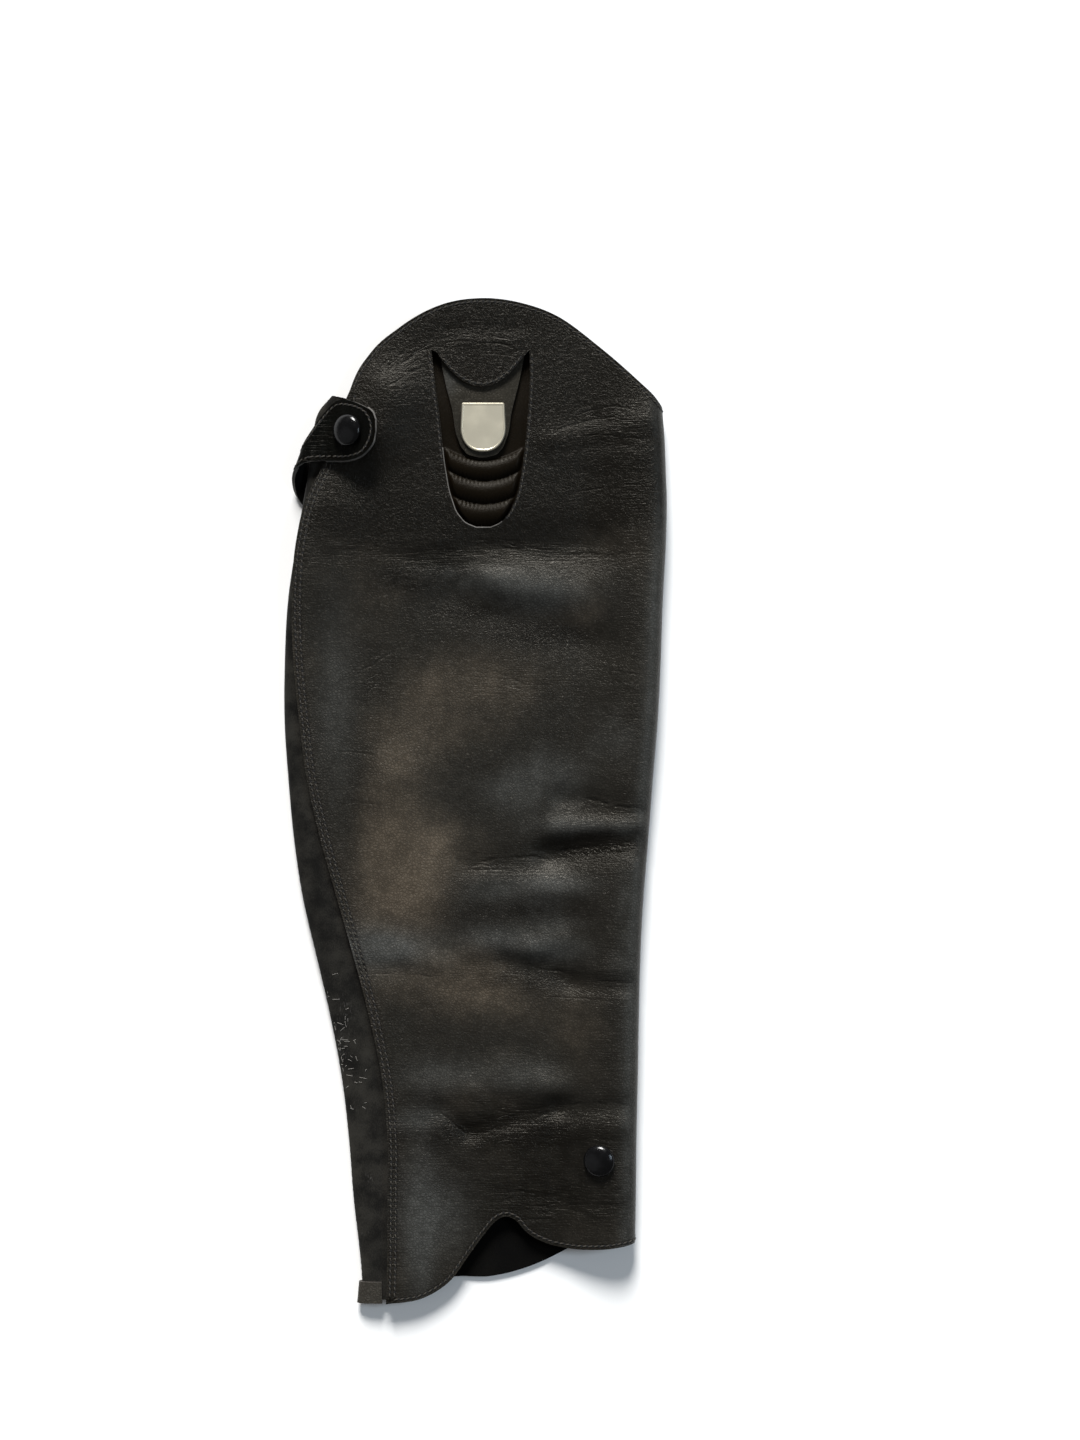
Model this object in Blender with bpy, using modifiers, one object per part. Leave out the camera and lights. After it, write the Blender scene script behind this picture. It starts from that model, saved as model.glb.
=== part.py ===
"""A tall leather half chap for a right leg, lying flat on its inner side.

Sizes in the tables are millimetres. X runs from the calf (left) to the shin (right), Y from the
ankle up to the knee and Z up from the surface it lies on. One piece of leather wraps the shin. A
suede strip with a zip closes the calf side, and a short strap snaps over the top of the zip.
"""

import math
from collections import namedtuple

import bmesh
import bpy
import numpy as np
from mathutils import Matrix, Vector

MM = 0.001

# Wall thicknesses and seams
LEATHER = 1.8
SUEDE = 1.2
TAPE = 1.0
STRAP = 1.6
END_TAB = 1.2
PAD = 1.2
TONGUE = 1.4
LINING = 1.0
SEAM_GAP = 0.3
LINING_GAP = 0.6

# Sections across the leg: a row gives the places of the folds and seams and the heights there
Station = namedtuple("Station", "y back_fold calf_seam shin seam_height plateau shin_height zip_in")
STATIONS = (
    Station(240.0, -68.5, -61.0, 88.9, 8.8, 7.0, 11.8, 17.5),
    Station(215.0, -68.5, -61.0, 88.9, 8.8, 8.6, 12.3, 17.5),
    Station(193.0, -68.5, -61.0, 88.9, 8.8, 9.0, 12.9, 17.5),
    Station(187.0, -73.7, -62.2, 89.0, 8.8, 9.0, 13.3, 17.5),
    Station(171.5, -77.6, -67.6, 90.1, 8.8, 9.0, 14.0, 17.5),
    Station(157.5, -79.4, -73.3, 90.6, 9.4, 9.0, 14.4, 17.5),
    Station(143.0, -81.8, -80.2, 91.1, 10.4, 9.0, 14.8, 17.0),
    Station(124.0, -84.9, -84.7, 90.7, 10.7, 8.4, 15.0, 15.5),
    Station(96.0, -89.2, -87.0, 89.2, 9.8, 7.6, 15.0, 13.6),
    Station(67.0, -90.9, -86.3, 88.2, 8.8, 7.2, 14.8, 12.6),
    Station(39.0, -91.1, -83.7, 86.8, 8.2, 7.0, 14.8, 12.2),
    Station(10.0, -89.2, -79.9, 84.4, 8.1, 7.0, 14.6, 12.0),
    Station(-18.0, -86.6, -73.5, 82.3, 8.1, 7.2, 14.2, 11.8),
    Station(-47.0, -82.2, -65.4, 79.9, 8.1, 7.4, 14.4, 11.5),
    Station(-75.0, -75.6, -57.4, 78.5, 8.0, 7.0, 13.8, 11.2),
    Station(-104.0, -69.0, -50.0, 77.8, 8.0, 6.8, 13.8, 11.0),
    Station(-132.0, -63.8, -44.3, 77.3, 8.0, 6.9, 13.6, 11.0),
    Station(-161.0, -60.4, -41.7, 76.7, 7.9, 7.2, 13.4, 11.0),
    Station(-189.0, -58.2, -41.7, 76.4, 7.8, 7.2, 13.2, 11.0),
    Station(-218.0, -54.9, -41.9, 75.9, 7.8, 7.0, 13.2, 11.0),
    Station(-240.0, -53.2, -42.4, 75.9, 7.8, 7.0, 13.2, 11.0),
)

# Cut edges, as places along them seen from above
EdgePoint = namedtuple("EdgePoint", "x y")
OUTER_TOP = (
    EdgePoint(-61.0, 190.5), EdgePoint(-57.1, 201.2), EdgePoint(-50.0, 212.4),
    EdgePoint(-35.7, 225.2), EdgePoint(-16.7, 235.6), EdgePoint(2.3, 238.9),
    EdgePoint(21.3, 236.8), EdgePoint(40.3, 229.7), EdgePoint(59.3, 215.4),
    EdgePoint(78.3, 198.3), EdgePoint(85.4, 191.4), EdgePoint(88.9, 187.0),
)
INNER_TOP = (
    EdgePoint(-51.0, 187.4), EdgePoint(-30.7, 178.3), EdgePoint(-7.1, 174.2),
    EdgePoint(20.0, 171.0), EdgePoint(45.4, 169.6), EdgePoint(58.2, 171.1),
    EdgePoint(71.3, 174.7), EdgePoint(83.8, 181.9), EdgePoint(88.9, 187.0),
)
OUTER_HEM = (
    EdgePoint(-42.4, -238.9), EdgePoint(-24.8, -236.1), EdgePoint(-16.7, -231.8),
    EdgePoint(-11.0, -227.0), EdgePoint(-4.0, -217.2), EdgePoint(4.2, -205.9),
    EdgePoint(10.4, -199.0), EdgePoint(14.6, -197.3), EdgePoint(19.0, -199.0),
    EdgePoint(24.1, -204.5), EdgePoint(33.1, -209.7), EdgePoint(43.6, -212.1),
    EdgePoint(59.3, -212.1), EdgePoint(75.9, -209.4),
)
INNER_HEM = (
    EdgePoint(-41.0, -236.8), EdgePoint(-26.2, -231.8), EdgePoint(-11.0, -227.2),
    EdgePoint(7.0, -226.9), EdgePoint(26.0, -222.1), EdgePoint(46.4, -212.3),
    EdgePoint(59.5, -204.6), EdgePoint(66.0, -200.6), EdgePoint(71.0, -200.0),
    EdgePoint(74.5, -203.6), EdgePoint(75.9, -209.4),
)

# The shin fold and how the upper face rises to it and to the calf seam
SHIN_FOLD_DEPTH = 7.0
SHIN_RISE = 34.0
SEAM_RISE = 24.0

# The largest folds of the upper face: soft ridges (height above 0) and troughs (below 0)
Fold = namedtuple("Fold", "x0 y0 x1 y1 height width")
FOLDS = (
    Fold(-46.0, 178.0, -40.0, 192.0, 3.4, 15.0),
    Fold(-64.0, 138.0, -70.0, 104.0, 2.7, 13.0),
    Fold(-40.0, 205.0, -12.0, 222.0, -0.9, 6.0),
    Fold(36.0, 172.0, 84.0, 180.0, 0.9, 6.0),
    Fold(-72.0, 118.0, 76.0, 117.0, -1.0, 4.5),
    Fold(6.0, 106.0, 58.0, 103.0, 1.4, 9.0),
    Fold(-12.0, 101.0, 58.0, 76.0, -1.7, 12.0),
    Fold(42.0, 1.0, 80.0, -6.0, -1.8, 6.5),
    Fold(38.0, -13.0, 78.0, -11.0, 1.3, 5.0),
    Fold(34.0, -24.0, 76.0, -17.0, -2.3, 6.5),
    Fold(-36.0, 6.0, -22.0, -46.0, 1.9, 20.0),
    Fold(-4.0, -30.0, 40.0, -28.0, -1.6, 6.0),
    Fold(-34.0, -72.0, -18.0, -77.0, 1.2, 6.0),
    Fold(26.0, -70.0, 42.0, -66.0, 1.2, 6.0),
    Fold(16.0, -76.0, 46.0, -83.0, -1.8, 6.5),
    Fold(46.0, -88.0, 78.0, -87.0, -1.2, 5.0),
    Fold(12.0, -128.0, 34.0, -134.0, 1.2, 8.0),
    Fold(-17.0, -147.0, -3.0, -158.0, -1.6, 5.5),
    Fold(-3.0, -158.0, 40.0, -146.0, -1.6, 5.5),
    Fold(40.0, -146.0, 76.0, -144.0, -1.2, 5.0),
)

# The underside is raised over the strap's sewn end and over the zip's slider
LIFT_STRAP = 1.95
LIFT_SLIDER = 1.95
LIFT_INNER_X = -42.0
LIFT_OUTER_X = -16.0
LIFT_FULL_Y = 106.0
LIFT_ZERO_Y = 52.0
SLIDER_LIFT_REACH = 24.0
SLIDER_LIFT_FLAT = 0.4
SLIDER_LIFT_LONG = 0.8

# The suede strip round the calf side and the zip under it
GUSSET_LAP = 8.0
GUSSET_GAP = 0.85
GUSSET_RAISED = 0.6
GUSSET_RAISED_AT_TAB = 1.5
GUSSET_DECLINE = 0.06
GUSSET_FOLD_DEPTH = 3.0
GUSSET_BOTTOM = -237.4
GUSSET_COLUMNS = (0, 0.35, 0.7, 1, 1.17, 1.33, 1.5, 1.67, 1.83, 2, 2.5, 3)
GussetTop = namedtuple("GussetTop", "g y")
GUSSET_TOP = (
    GussetTop(0.0, 188.6), GussetTop(0.7, 190.6), GussetTop(1.0, 192.4),
    GussetTop(1.5, 193.1), GussetTop(3.0, 191.0),
)
GUSSET_ZIP_EDGE = 5.0
LEATHER_ZIP_EDGE = 5.5
TAPE_WIDTH_LEATHER = 12.0
TAPE_WIDTH_GUSSET = 8.0
TAPE_OPEN = 2.2
CHAIN_WIDTH = 5.0
CHAIN_HEIGHT = 1.5
ZIP_TOP = 186.0
ZIP_BOTTOM = -219.5
ZIP_BOX_SIZE = (6.4, 6.4, 2.6)
END_TAB_TOP = -228.8
END_TAB_OUTER_END, END_TAB_INNER_END = -239.0, -238.2
END_TAB_COLUMNS = (0.62, 0.8, 1, 1.2, 1.4, 1.5, 1.6, 1.8, 2, 2.6)
END_TAB_FLARE = 1.6
TAB_EASE = 6.8

# The zip's slider and its pull tab
SLIDER_Y = 134.0
SLIDER_LENGTH = 11.0
SLIDER_WIDTH = 9.0
SLIDER_PLATE = 1.0
PULL_LENGTH = 21.0
PULL_WIDTH = 5.6
PULL_THICKNESS = 1.2
PIVOT_RADIUS = 0.55
PULL_EYE_RADIUS = 1.25
PIVOT_CLEARANCE = 0.3
SLIDER_NOSE = 2.4
SLIDER_NOSE_IN = 1.6
SLIDER_TAIL_IN = 1.0
WEDGE_HALF = 1.5
WEDGE_TIP = 1.6
WEDGE_BACK = 0.6
SLIDER_WALL = 0.9
SLIDER_WALL_START = -1.0
INTO_PLATE = 0.5
EAR_SIZE = (1.0, 2.6, 2.6)
EAR_X = 2.0
EAR_UP = 0.6
PIVOT_FROM_NOSE = 1.8
PULL_NECK, PULL_SHOULDER, PULL_FLARE = 1.1, 3.4, 1.8
PULL_END_RISE, PULL_END_IN = (2.2, 0.6), (0.9, 2.2)
WINDOW_HALF, WINDOW_LOW, WINDOW_HIGH = 1.5, -17.5, -9.5

# The strap: its two long edges from the snapped end, round the calf, to the sewn end
StrapRow = namedtuple("StrapRow", "upper_x upper_y upper_z lower_x lower_y lower_z")
STRAP_ROWS = (
    StrapRow(-46.6, 180.0, 21.6, -46.5, 174.0, 21.4),
    StrapRow(-48.2, 183.6, 21.4, -48.0, 168.4, 21.0),
    StrapRow(-52.4, 186.4, 19.9, -53.0, 163.2, 19.5),
    StrapRow(-59.0, 189.2, 16.1, -60.0, 161.2, 15.7),
    StrapRow(-66.0, 189.4, 12.0, -67.5, 161.4, 12.3),
    StrapRow(-72.8, 182.6, 10.9, -75.0, 161.4, 12.0),
    StrapRow(-78.0, 175.2, 10.7, -81.0, 160.6, 11.9),
    StrapRow(-81.4, 170.2, 9.0, -85.6, 157.6, 9.6),
    StrapRow(-82.3, 167.6, 5.4, -87.3, 153.0, 5.6),
    StrapRow(-81.4, 166.0, 1.9, -86.2, 146.6, 1.8),
    StrapRow(-77.6, 166.4, 0.0, -82.0, 141.0, 0.0),
    StrapRow(-69.0, 171.2, 0.0, -74.0, 140.2, 0.0),
    StrapRow(-61.0, 178.0, 0.0, -64.0, 145.6, 0.0),
    StrapRow(-54.5, 183.6, 0.0, -50.0, 160.0, 0.0),
    StrapRow(-49.0, 186.4, 0.0, -38.0, 175.0, 0.0),
)
SNAP_ROW = 3.0

# Snaps
CAP_DIAMETER = 15.0
CAP_HEIGHT = 4.2
CAP_SEAT_RADIUS = 4.8
SNAP_SEAT_GAP = 1.4
SOCKET_RADIUS = 5.2
STUD_RADIUS = 3.4
ANKLE_SNAP_X = 59.0
ANKLE_SNAP_Y = -169.8
CAP_RIM, CAP_SHOULDER, CAP_FOOT = 1.2, 0.8, 0.6
DISC_LIP = 0.4
DISC_HEIGHT = 1.6
PROBE_STEP, PROBE_DEPTH = 0.05, 15.0

# The badge inset: the hole's sides, its curved top edge, the ribbed pad, the tongue and the plate
HoleRow = namedtuple("HoleRow", "y left right")
HOLE_SIDES = (
    HoleRow(130.1, 0.6, 7.2),
    HoleRow(131.6, -3.2, 10.8),
    HoleRow(135.4, -7.4, 14.8),
    HoleRow(143.2, -11.0, 19.0),
    HoleRow(157.5, -14.1, 22.2),
    HoleRow(181.2, -16.7, 24.8),
    HoleRow(205.0, -19.8, 26.0),
    HoleRow(214.5, -20.8, 25.8),
)
SMILE_X = 3.0
SMILE_Y = 197.1
SMILE_RISE = 14.5
SMILE_REACH = 20.0
SMILE_ENDS = (-18.2, 22.0)
PAD_LAPS = (-4.5, -1.0, 0.6, 3.0)
PAD_MIDDLE_COLUMNS = 6
PAD_BOTTOM, PAD_TOP = 126.0, 217.0
RIB_SEAMS = (130.5, 141.4, 152.4, 162.4)
RIB_X = 4.2
RIB_SAG = 5.7
RIB_REACH = 18.0
RIB_HEIGHT = 2.5
RIB_FULLNESS = 0.7
RIB_END = 3.0
TongueRow = namedtuple("TongueRow", "y half_width")
TONGUE_X = 3.3
TONGUE_ROWS = (
    TongueRow(163.4, 1.6),
    TongueRow(164.3, 5.2),
    TongueRow(167.0, 8.8),
    TongueRow(172.0, 11.4),
    TongueRow(186.0, 14.2),
    TongueRow(198.0, 17.2),
    TongueRow(213.0, 20.2),
    TongueRow(217.0, 21.0),
)
TONGUE_LOW, TONGUE_HIGH = 196.0, 186.5
TONGUE_STANDS = 1.7
PLATE_X = 3.8
PLATE_TOP, PLATE_BOTTOM, PLATE_SHOULDER = 189.2, 166.0, 177.4
PLATE_HALF_TOP, PLATE_HALF_WIDE = 10.2, 10.7
PLATE_THICKNESS = 1.2
PLATE_CORNER = 0.9
PLATE_ROUND = 0.85
PLATE_EDGE = 0.35

# The lining that shows inside the top
FACING_WIDTH = 9.5
FACING_ENDS = (-56.0, 80.0)
MESH_LEFT, MESH_RIGHT, MESH_BOTTOM = -16.0, 52.0, 127.0

# Where the search for a cut edge starts, and the mesh density of the walls
HEM_START, TOP_START = -215.0, 188.0
FACE_COLUMNS = 24
FOLD_COLUMNS = 6
UNDER_COLUMNS = 13
BODY_ROWS = 35
STRIP_ROWS = 30


def smooth_curve(knots, values):
    """Gives a cubic through the knots, level beyond the ends, as a function of one number."""
    order = np.argsort(knots)
    knots = np.asarray(knots, float)[order]
    values = np.asarray(values, float)[order]
    slopes = np.gradient(values, knots)
    slopes[0] = (values[1] - values[0]) / (knots[1] - knots[0])
    slopes[-1] = (values[-1] - values[-2]) / (knots[-1] - knots[-2])

    def at(place):
        place = min(max(place, knots[0]), knots[-1])
        k = min(int(np.searchsorted(knots, place, side="right")) - 1, len(knots) - 2)
        step = knots[k + 1] - knots[k]
        t = (place - knots[k]) / step
        rise = values[k + 1] - values[k]
        start = slopes[k] * step
        end = slopes[k + 1] * step
        return values[k] + t * (start + t * (3 * rise - 2 * start - end + t * (start + end - 2 * rise)))

    return at


def column(rows, name, by="y"):
    """Gives one column of a table as a smooth function of another."""
    return smooth_curve([getattr(row, by) for row in rows], [getattr(row, name) for row in rows])


def smoothstep(t):
    """Eases from 0 to 1."""
    t = min(max(t, 0.0), 1.0)
    return t * t * (3 - 2 * t)


def lerp(a, b, t):
    """Gives the value a share t of the way from a to b."""
    return a + (b - a) * t


back_fold = column(STATIONS, "back_fold")
calf_seam = column(STATIONS, "calf_seam")
shin = column(STATIONS, "shin")
seam_height = column(STATIONS, "seam_height")
plateau = column(STATIONS, "plateau")
shin_height = column(STATIONS, "shin_height")
zip_in = column(STATIONS, "zip_in")
outer_top = column(OUTER_TOP, "y", by="x")
inner_top = column(INNER_TOP, "y", by="x")
outer_hem = column(OUTER_HEM, "y", by="x")
inner_hem = column(INNER_HEM, "y", by="x")
hole_left = column(HOLE_SIDES, "left")
hole_right = column(HOLE_SIDES, "right")
tongue_half = column(TONGUE_ROWS, "half_width")
gusset_top = column(GUSSET_TOP, "y", by="g")


def zip_line(y):
    """Gives the x of the zip's teeth."""
    return back_fold(y) + zip_in(y)


def fold_start(y):
    """Gives the x where the upper face turns into the shin fold."""
    return shin(y) - SHIN_FOLD_DEPTH


def fold_relief(x, y):
    """Gives the height that the folds of the leather add at a place."""
    total = 0.0
    for fold in FOLDS:
        run_x = fold.x1 - fold.x0
        run_y = fold.y1 - fold.y0
        along = ((x - fold.x0) * run_x + (y - fold.y0) * run_y) / (run_x ** 2 + run_y ** 2)
        along = min(max(along, 0.0), 1.0)
        off = math.hypot(x - fold.x0 - along * run_x, y - fold.y0 - along * run_y)
        total += fold.height * math.exp(-((off / fold.width) ** 2))
    return total


def face_height(x, y):
    """Gives the height of the leather's upper face."""
    shin_share = 1 - smoothstep((fold_start(y) - x) / SHIN_RISE)
    seam_share = 1 - smoothstep((x - calf_seam(y)) / SEAM_RISE)
    level = plateau(y)
    base = level + (shin_height(y) - level) * shin_share + (seam_height(y) - level) * seam_share
    return base + fold_relief(x, y)


def lift(x, y):
    """Gives how far the underside is raised off the surface it lies on."""
    across = 1 - smoothstep((x - LIFT_INNER_X) / (LIFT_OUTER_X - LIFT_INNER_X))
    along = 1 - smoothstep((LIFT_FULL_Y - y) / (LIFT_FULL_Y - LIFT_ZERO_Y))
    off = math.hypot(x - zip_line(SLIDER_Y), (y - SLIDER_Y + PULL_LENGTH / 2) * SLIDER_LIFT_LONG)
    near_slider = 1 - smoothstep(off / SLIDER_LIFT_REACH - SLIDER_LIFT_FLAT)
    return across * along * (LIFT_STRAP + LIFT_SLIDER * near_slider)


def body_x(s, y):
    """Gives the x of a section's point: s runs 0 to 1 over the face, 2 round the shin, 3 under."""
    if s <= 1:
        return lerp(calf_seam(y), fold_start(y), s)
    if s <= 2:
        return fold_start(y) + SHIN_FOLD_DEPTH * math.sin((s - 1) * math.pi)
    return lerp(fold_start(y), zip_line(y) + LEATHER_ZIP_EDGE, s - 2)


def body_point(s, y):
    """Gives a point of the leather's outer side."""
    x = body_x(s, y)
    if s <= 1:
        return (x, y, face_height(x, y))
    if s <= 2:
        turn = (s - 1) * math.pi
        radius = face_height(fold_start(y), y) / 2
        return (x, y, radius + radius * math.cos(turn))
    return (x, y, lift(x, y))


def edge_of(s, edge, start):
    """Gives the y where a column of the section meets a cut edge."""
    y = start
    for _ in range(12):
        y = lerp(y, edge(body_x(s, y)), 0.7)
    return y


def sheet(name, across, along, point, wall, side=-1, flip=False):
    """Builds a wall of one thickness on a grid of points.

    across and along list the grid's two parameters, and point gives the place of each pair in mm.
    The wall grows against the surface's normal, or along it where side is 1.
    """
    mesh = bpy.data.meshes.new(name)
    bm = bmesh.new()
    last_across = len(across) - 1
    last_along = len(along) - 1
    bmesh.ops.create_grid(bm, x_segments=last_across, y_segments=last_along, size=1)
    for vert in bm.verts:
        i = round((vert.co.x + 1) / 2 * last_across)
        j = round((vert.co.y + 1) / 2 * last_along)
        vert.co = Vector(point(across[i], along[j])) * MM
    if flip:
        bmesh.ops.reverse_faces(bm, faces=bm.faces)
    for face in bm.faces:
        face.smooth = True
    bm.to_mesh(mesh)
    bm.free()
    piece = add_object(name, mesh)
    solidify = piece.modifiers.new("wall", "SOLIDIFY")
    solidify.thickness = wall * MM
    solidify.offset = side
    solidify.use_even_offset = True
    return piece


def prism(name, outline, low, high):
    """Builds an upright block from a closed outline in mm."""
    mesh = bpy.data.meshes.new(name)
    bm = bmesh.new()
    rim = [bm.verts.new(Vector((x, y, low)) * MM) for x, y in outline]
    floor = bm.faces.new(rim)
    top = bmesh.ops.extrude_face_region(bm, geom=[floor])
    raised = [item for item in top["geom"] if isinstance(item, bmesh.types.BMVert)]
    bmesh.ops.translate(bm, verts=raised, vec=(0, 0, (high - low) * MM))
    bmesh.ops.recalc_face_normals(bm, faces=bm.faces)
    bm.to_mesh(mesh)
    bm.free()
    return add_object(name, mesh)


def turned(name, profile, steps=20):
    """Builds a solid of revolution about Z from (radius, height) pairs that run top to bottom."""
    mesh = bpy.data.meshes.new(name)
    bm = bmesh.new()
    verts = [bm.verts.new(Vector((radius, 0, height)) * MM) for radius, height in profile]
    for first, second in zip(verts, verts[1:]):
        bm.edges.new((first, second))
    bm.to_mesh(mesh)
    bm.free()
    piece = add_object(name, mesh)
    screw = piece.modifiers.new("turn", "SCREW")
    screw.axis = "Z"
    screw.steps = steps
    screw.render_steps = steps
    screw.use_merge_vertices = True
    screw.merge_threshold = 0.00001
    screw.use_smooth_shade = True
    return piece


def box(name, size, centre, turn=0.0):
    """Builds a box from its size and centre in mm, turned about Z."""
    mesh = bpy.data.meshes.new(name)
    bm = bmesh.new()
    bmesh.ops.create_cube(bm, size=1)
    bmesh.ops.scale(bm, vec=Vector(size) * MM, verts=bm.verts)
    bm.to_mesh(mesh)
    bm.free()
    piece = add_object(name, mesh)
    piece.location = Vector(centre) * MM
    piece.rotation_euler = (0, 0, turn)
    return piece


def cylinder(name, radius, length, matrix, sides=16):
    """Builds a cylinder along its own Z and places it with a matrix in mm."""
    mesh = bpy.data.meshes.new(name)
    bm = bmesh.new()
    bmesh.ops.create_cone(
        bm, cap_ends=True, segments=sides, radius1=radius * MM, radius2=radius * MM, depth=length * MM
    )
    bm.to_mesh(mesh)
    bm.free()
    piece = add_object(name, mesh)
    place(piece, matrix)
    return piece


def place(piece, matrix):
    """Puts a piece at a matrix whose translation is in mm."""
    placed = matrix.copy()
    placed.translation = matrix.translation * MM
    piece.matrix_world = placed


def add_object(name, mesh):
    """Puts a mesh in the chap's collection under its node's name."""
    piece = bpy.data.objects.new(name, mesh)
    chap.objects.link(piece)
    return piece


def boolean(piece, tool, operation):
    """Cuts or joins a piece with a tool, which is kept as a hidden guide."""
    modifier = piece.modifiers.new(operation.lower(), "BOOLEAN")
    modifier.operation = operation
    modifier.object = tool
    chap.objects.unlink(tool)
    cutters.objects.link(tool)
    tool.hide_render = True
    tool.display_type = "WIRE"


def material(name, colour, roughness, metallic=0.0):
    """Makes a plain material."""
    finish = bpy.data.materials.new(name)
    finish.use_nodes = True
    shader = finish.node_tree.nodes["Principled BSDF"]
    shader.inputs["Base Color"].default_value = (*colour, 1)
    shader.inputs["Roughness"].default_value = roughness
    shader.inputs["Metallic"].default_value = metallic
    return finish


def surface_frame(point, u, v, step=0.02):
    """Gives a matrix in mm at a surface's point, with Z along its normal and X along its first run."""
    origin = Vector(point(u, v))
    run_u = Vector(point(u + step, v)) - origin
    run_v = Vector(point(u, v + step)) - origin
    normal = run_u.cross(run_v).normalized()
    first = run_u.normalized()
    second = normal.cross(first)
    frame = Matrix((first, second, normal)).transposed().to_4x4()
    frame.translation = origin
    return frame


def face_point(x, y):
    """Gives a point of the upper face by its place seen from above."""
    return (x, y, face_height(x, y))


def below_face(depth):
    """Gives a function for points set in from the upper face along its normal."""

    def point(x, y):
        frame = surface_frame(face_point, x, y, 0.5)
        return frame @ Vector((0, 0, -depth(x, y) if callable(depth) else -depth))

    return point


def leather_body():
    """Builds the leather, wrapped round the shin, with the badge's hole cut through its face."""
    columns = [k / FACE_COLUMNS for k in range(FACE_COLUMNS)]
    columns += [1 + k / FOLD_COLUMNS for k in range(FOLD_COLUMNS)]
    columns += [2 + k / UNDER_COLUMNS for k in range(UNDER_COLUMNS + 1)]
    limits = {}
    for s in columns:
        top, hem = (outer_top, outer_hem) if s <= 1.5 else (inner_top, inner_hem)
        limits[s] = (edge_of(s, hem, HEM_START), edge_of(s, top, TOP_START))
    rows = [k / BODY_ROWS for k in range(BODY_ROWS + 1)]
    body = sheet("leather_body", columns, rows, lambda s, v: body_point(s, lerp(*limits[s], v)), LEATHER)
    hole = prism("badge_hole", hole_outline(), lift(SMILE_X, 150.0) + LEATHER + 1.0, 30.0)
    boolean(body, hole, "DIFFERENCE")
    return body


def smile(x):
    """Gives the y of the curved edge above the badge."""
    return SMILE_Y + SMILE_RISE * ((x - SMILE_X) / SMILE_REACH) ** 2


def hole_outline():
    """Gives the outline of the badge's hole: down the right side, up the left, along the smile."""
    low = HOLE_SIDES[0].y
    high = HOLE_SIDES[-1].y
    heights = [lerp(low, high, (k / 14) ** 1.6) for k in range(15)]
    right = [(hole_right(y), y) for y in reversed(heights[:-1])]
    left = [(hole_left(y), y) for y in heights]
    curve = [(x, smile(x)) for x in np.linspace(*SMILE_ENDS, 13)]
    return right + left + curve


def gusset_raised(y):
    """Gives how far the strip's lower run lies above the underside."""
    share = smoothstep((END_TAB_TOP + TAB_EASE - y) / TAB_EASE)
    return lerp(GUSSET_RAISED, GUSSET_RAISED_AT_TAB, share)


def gusset_section(g, y):
    """Gives (x, z) of the suede strip's outer side: g runs 0 to 1 on top, 2 round, 3 under."""
    low = lift(back_fold(y), y) + gusset_raised(y)
    start = back_fold(y) + GUSSET_FOLD_DEPTH
    seam = calf_seam(y)
    under_leather = max(seam, start)
    fold_top = face_height(under_leather, y) - LEATHER - GUSSET_GAP - GUSSET_DECLINE * max(seam - start, 0)
    if g <= 1:
        x = lerp(seam + GUSSET_LAP, start, g)
        if x >= seam:
            return x, face_height(x, y) - LEATHER - GUSSET_GAP
        edge = face_height(seam, y) - LEATHER - GUSSET_GAP
        return x, lerp(edge, fold_top, smoothstep((seam - x) / max(seam - start, 0.01)))
    if g <= 2:
        turn = (g - 1) * math.pi
        radius = (fold_top - low) / 2
        return start - GUSSET_FOLD_DEPTH * math.sin(turn), low + radius + radius * math.cos(turn)
    x = lerp(start, zip_line(y) - GUSSET_ZIP_EDGE, g - 2)
    edge_low = lift(x, y) + gusset_raised(y)
    return x, edge_low


def gusset_point(g, y):
    """Gives a point of the suede strip's outer side."""
    x, z = gusset_section(g, y)
    return (x, y, z)


def back_gusset():
    """Builds the suede strip that folds round the calf side to the zip."""
    tall = gusset_top(1.5) - GUSSET_BOTTOM
    first = (END_TAB_TOP + TAB_EASE - GUSSET_BOTTOM) / tall
    rows = [0, (END_TAB_TOP - GUSSET_BOTTOM) / tall]
    rows += list(np.linspace(first, 1, STRIP_ROWS + 4))
    return sheet(
        "back_gusset", GUSSET_COLUMNS, rows,
        lambda g, v: gusset_point(g, lerp(GUSSET_BOTTOM, gusset_top(g), v)), SUEDE, flip=True,
    )


def gusset_end_tab():
    """Builds the leather tab wrapped over the strip's lower end, flaring a little."""

    def point(g, v):
        bottom = END_TAB_OUTER_END if g <= 1.6 else END_TAB_INNER_END
        y = lerp(bottom, END_TAB_TOP, v)
        x, z = gusset_section(g, max(y, GUSSET_BOTTOM))
        reach = END_TAB + SEAM_GAP
        turn = min(max(g - 1, 0), 1) * math.pi
        flare = END_TAB_FLARE * (1 - v) * math.sin(turn)
        x = min(x, calf_seam(y) - SEAM_GAP)
        return (x - (reach + flare) * math.sin(turn), y, z + reach * math.cos(turn))

    return sheet("gusset_end_tab", END_TAB_COLUMNS, [0, 0.33, 0.67, 1], point, END_TAB, flip=True)


def zip_half(name, side, width):
    """Builds one zip tape on the inside of its panel."""

    def point(share, y):
        spread = SEAM_GAP + TAPE_OPEN * smoothstep((y - SLIDER_Y + 3) / 5)
        x = zip_line(y) + side * lerp(spread, width, share)
        return (x, y, lift(x, y) + LEATHER + SEAM_GAP)

    rows = list(np.linspace(ZIP_BOTTOM, SLIDER_Y - 7, 24))
    rows += [SLIDER_Y + step for step in (-3, -0.5, 2, 7)]
    rows += list(np.linspace(SLIDER_Y + 17, ZIP_TOP, 4))
    return sheet(name, [0, 0.5, 1], rows, point, TAPE, side=1 if side > 0 else -1)


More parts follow.
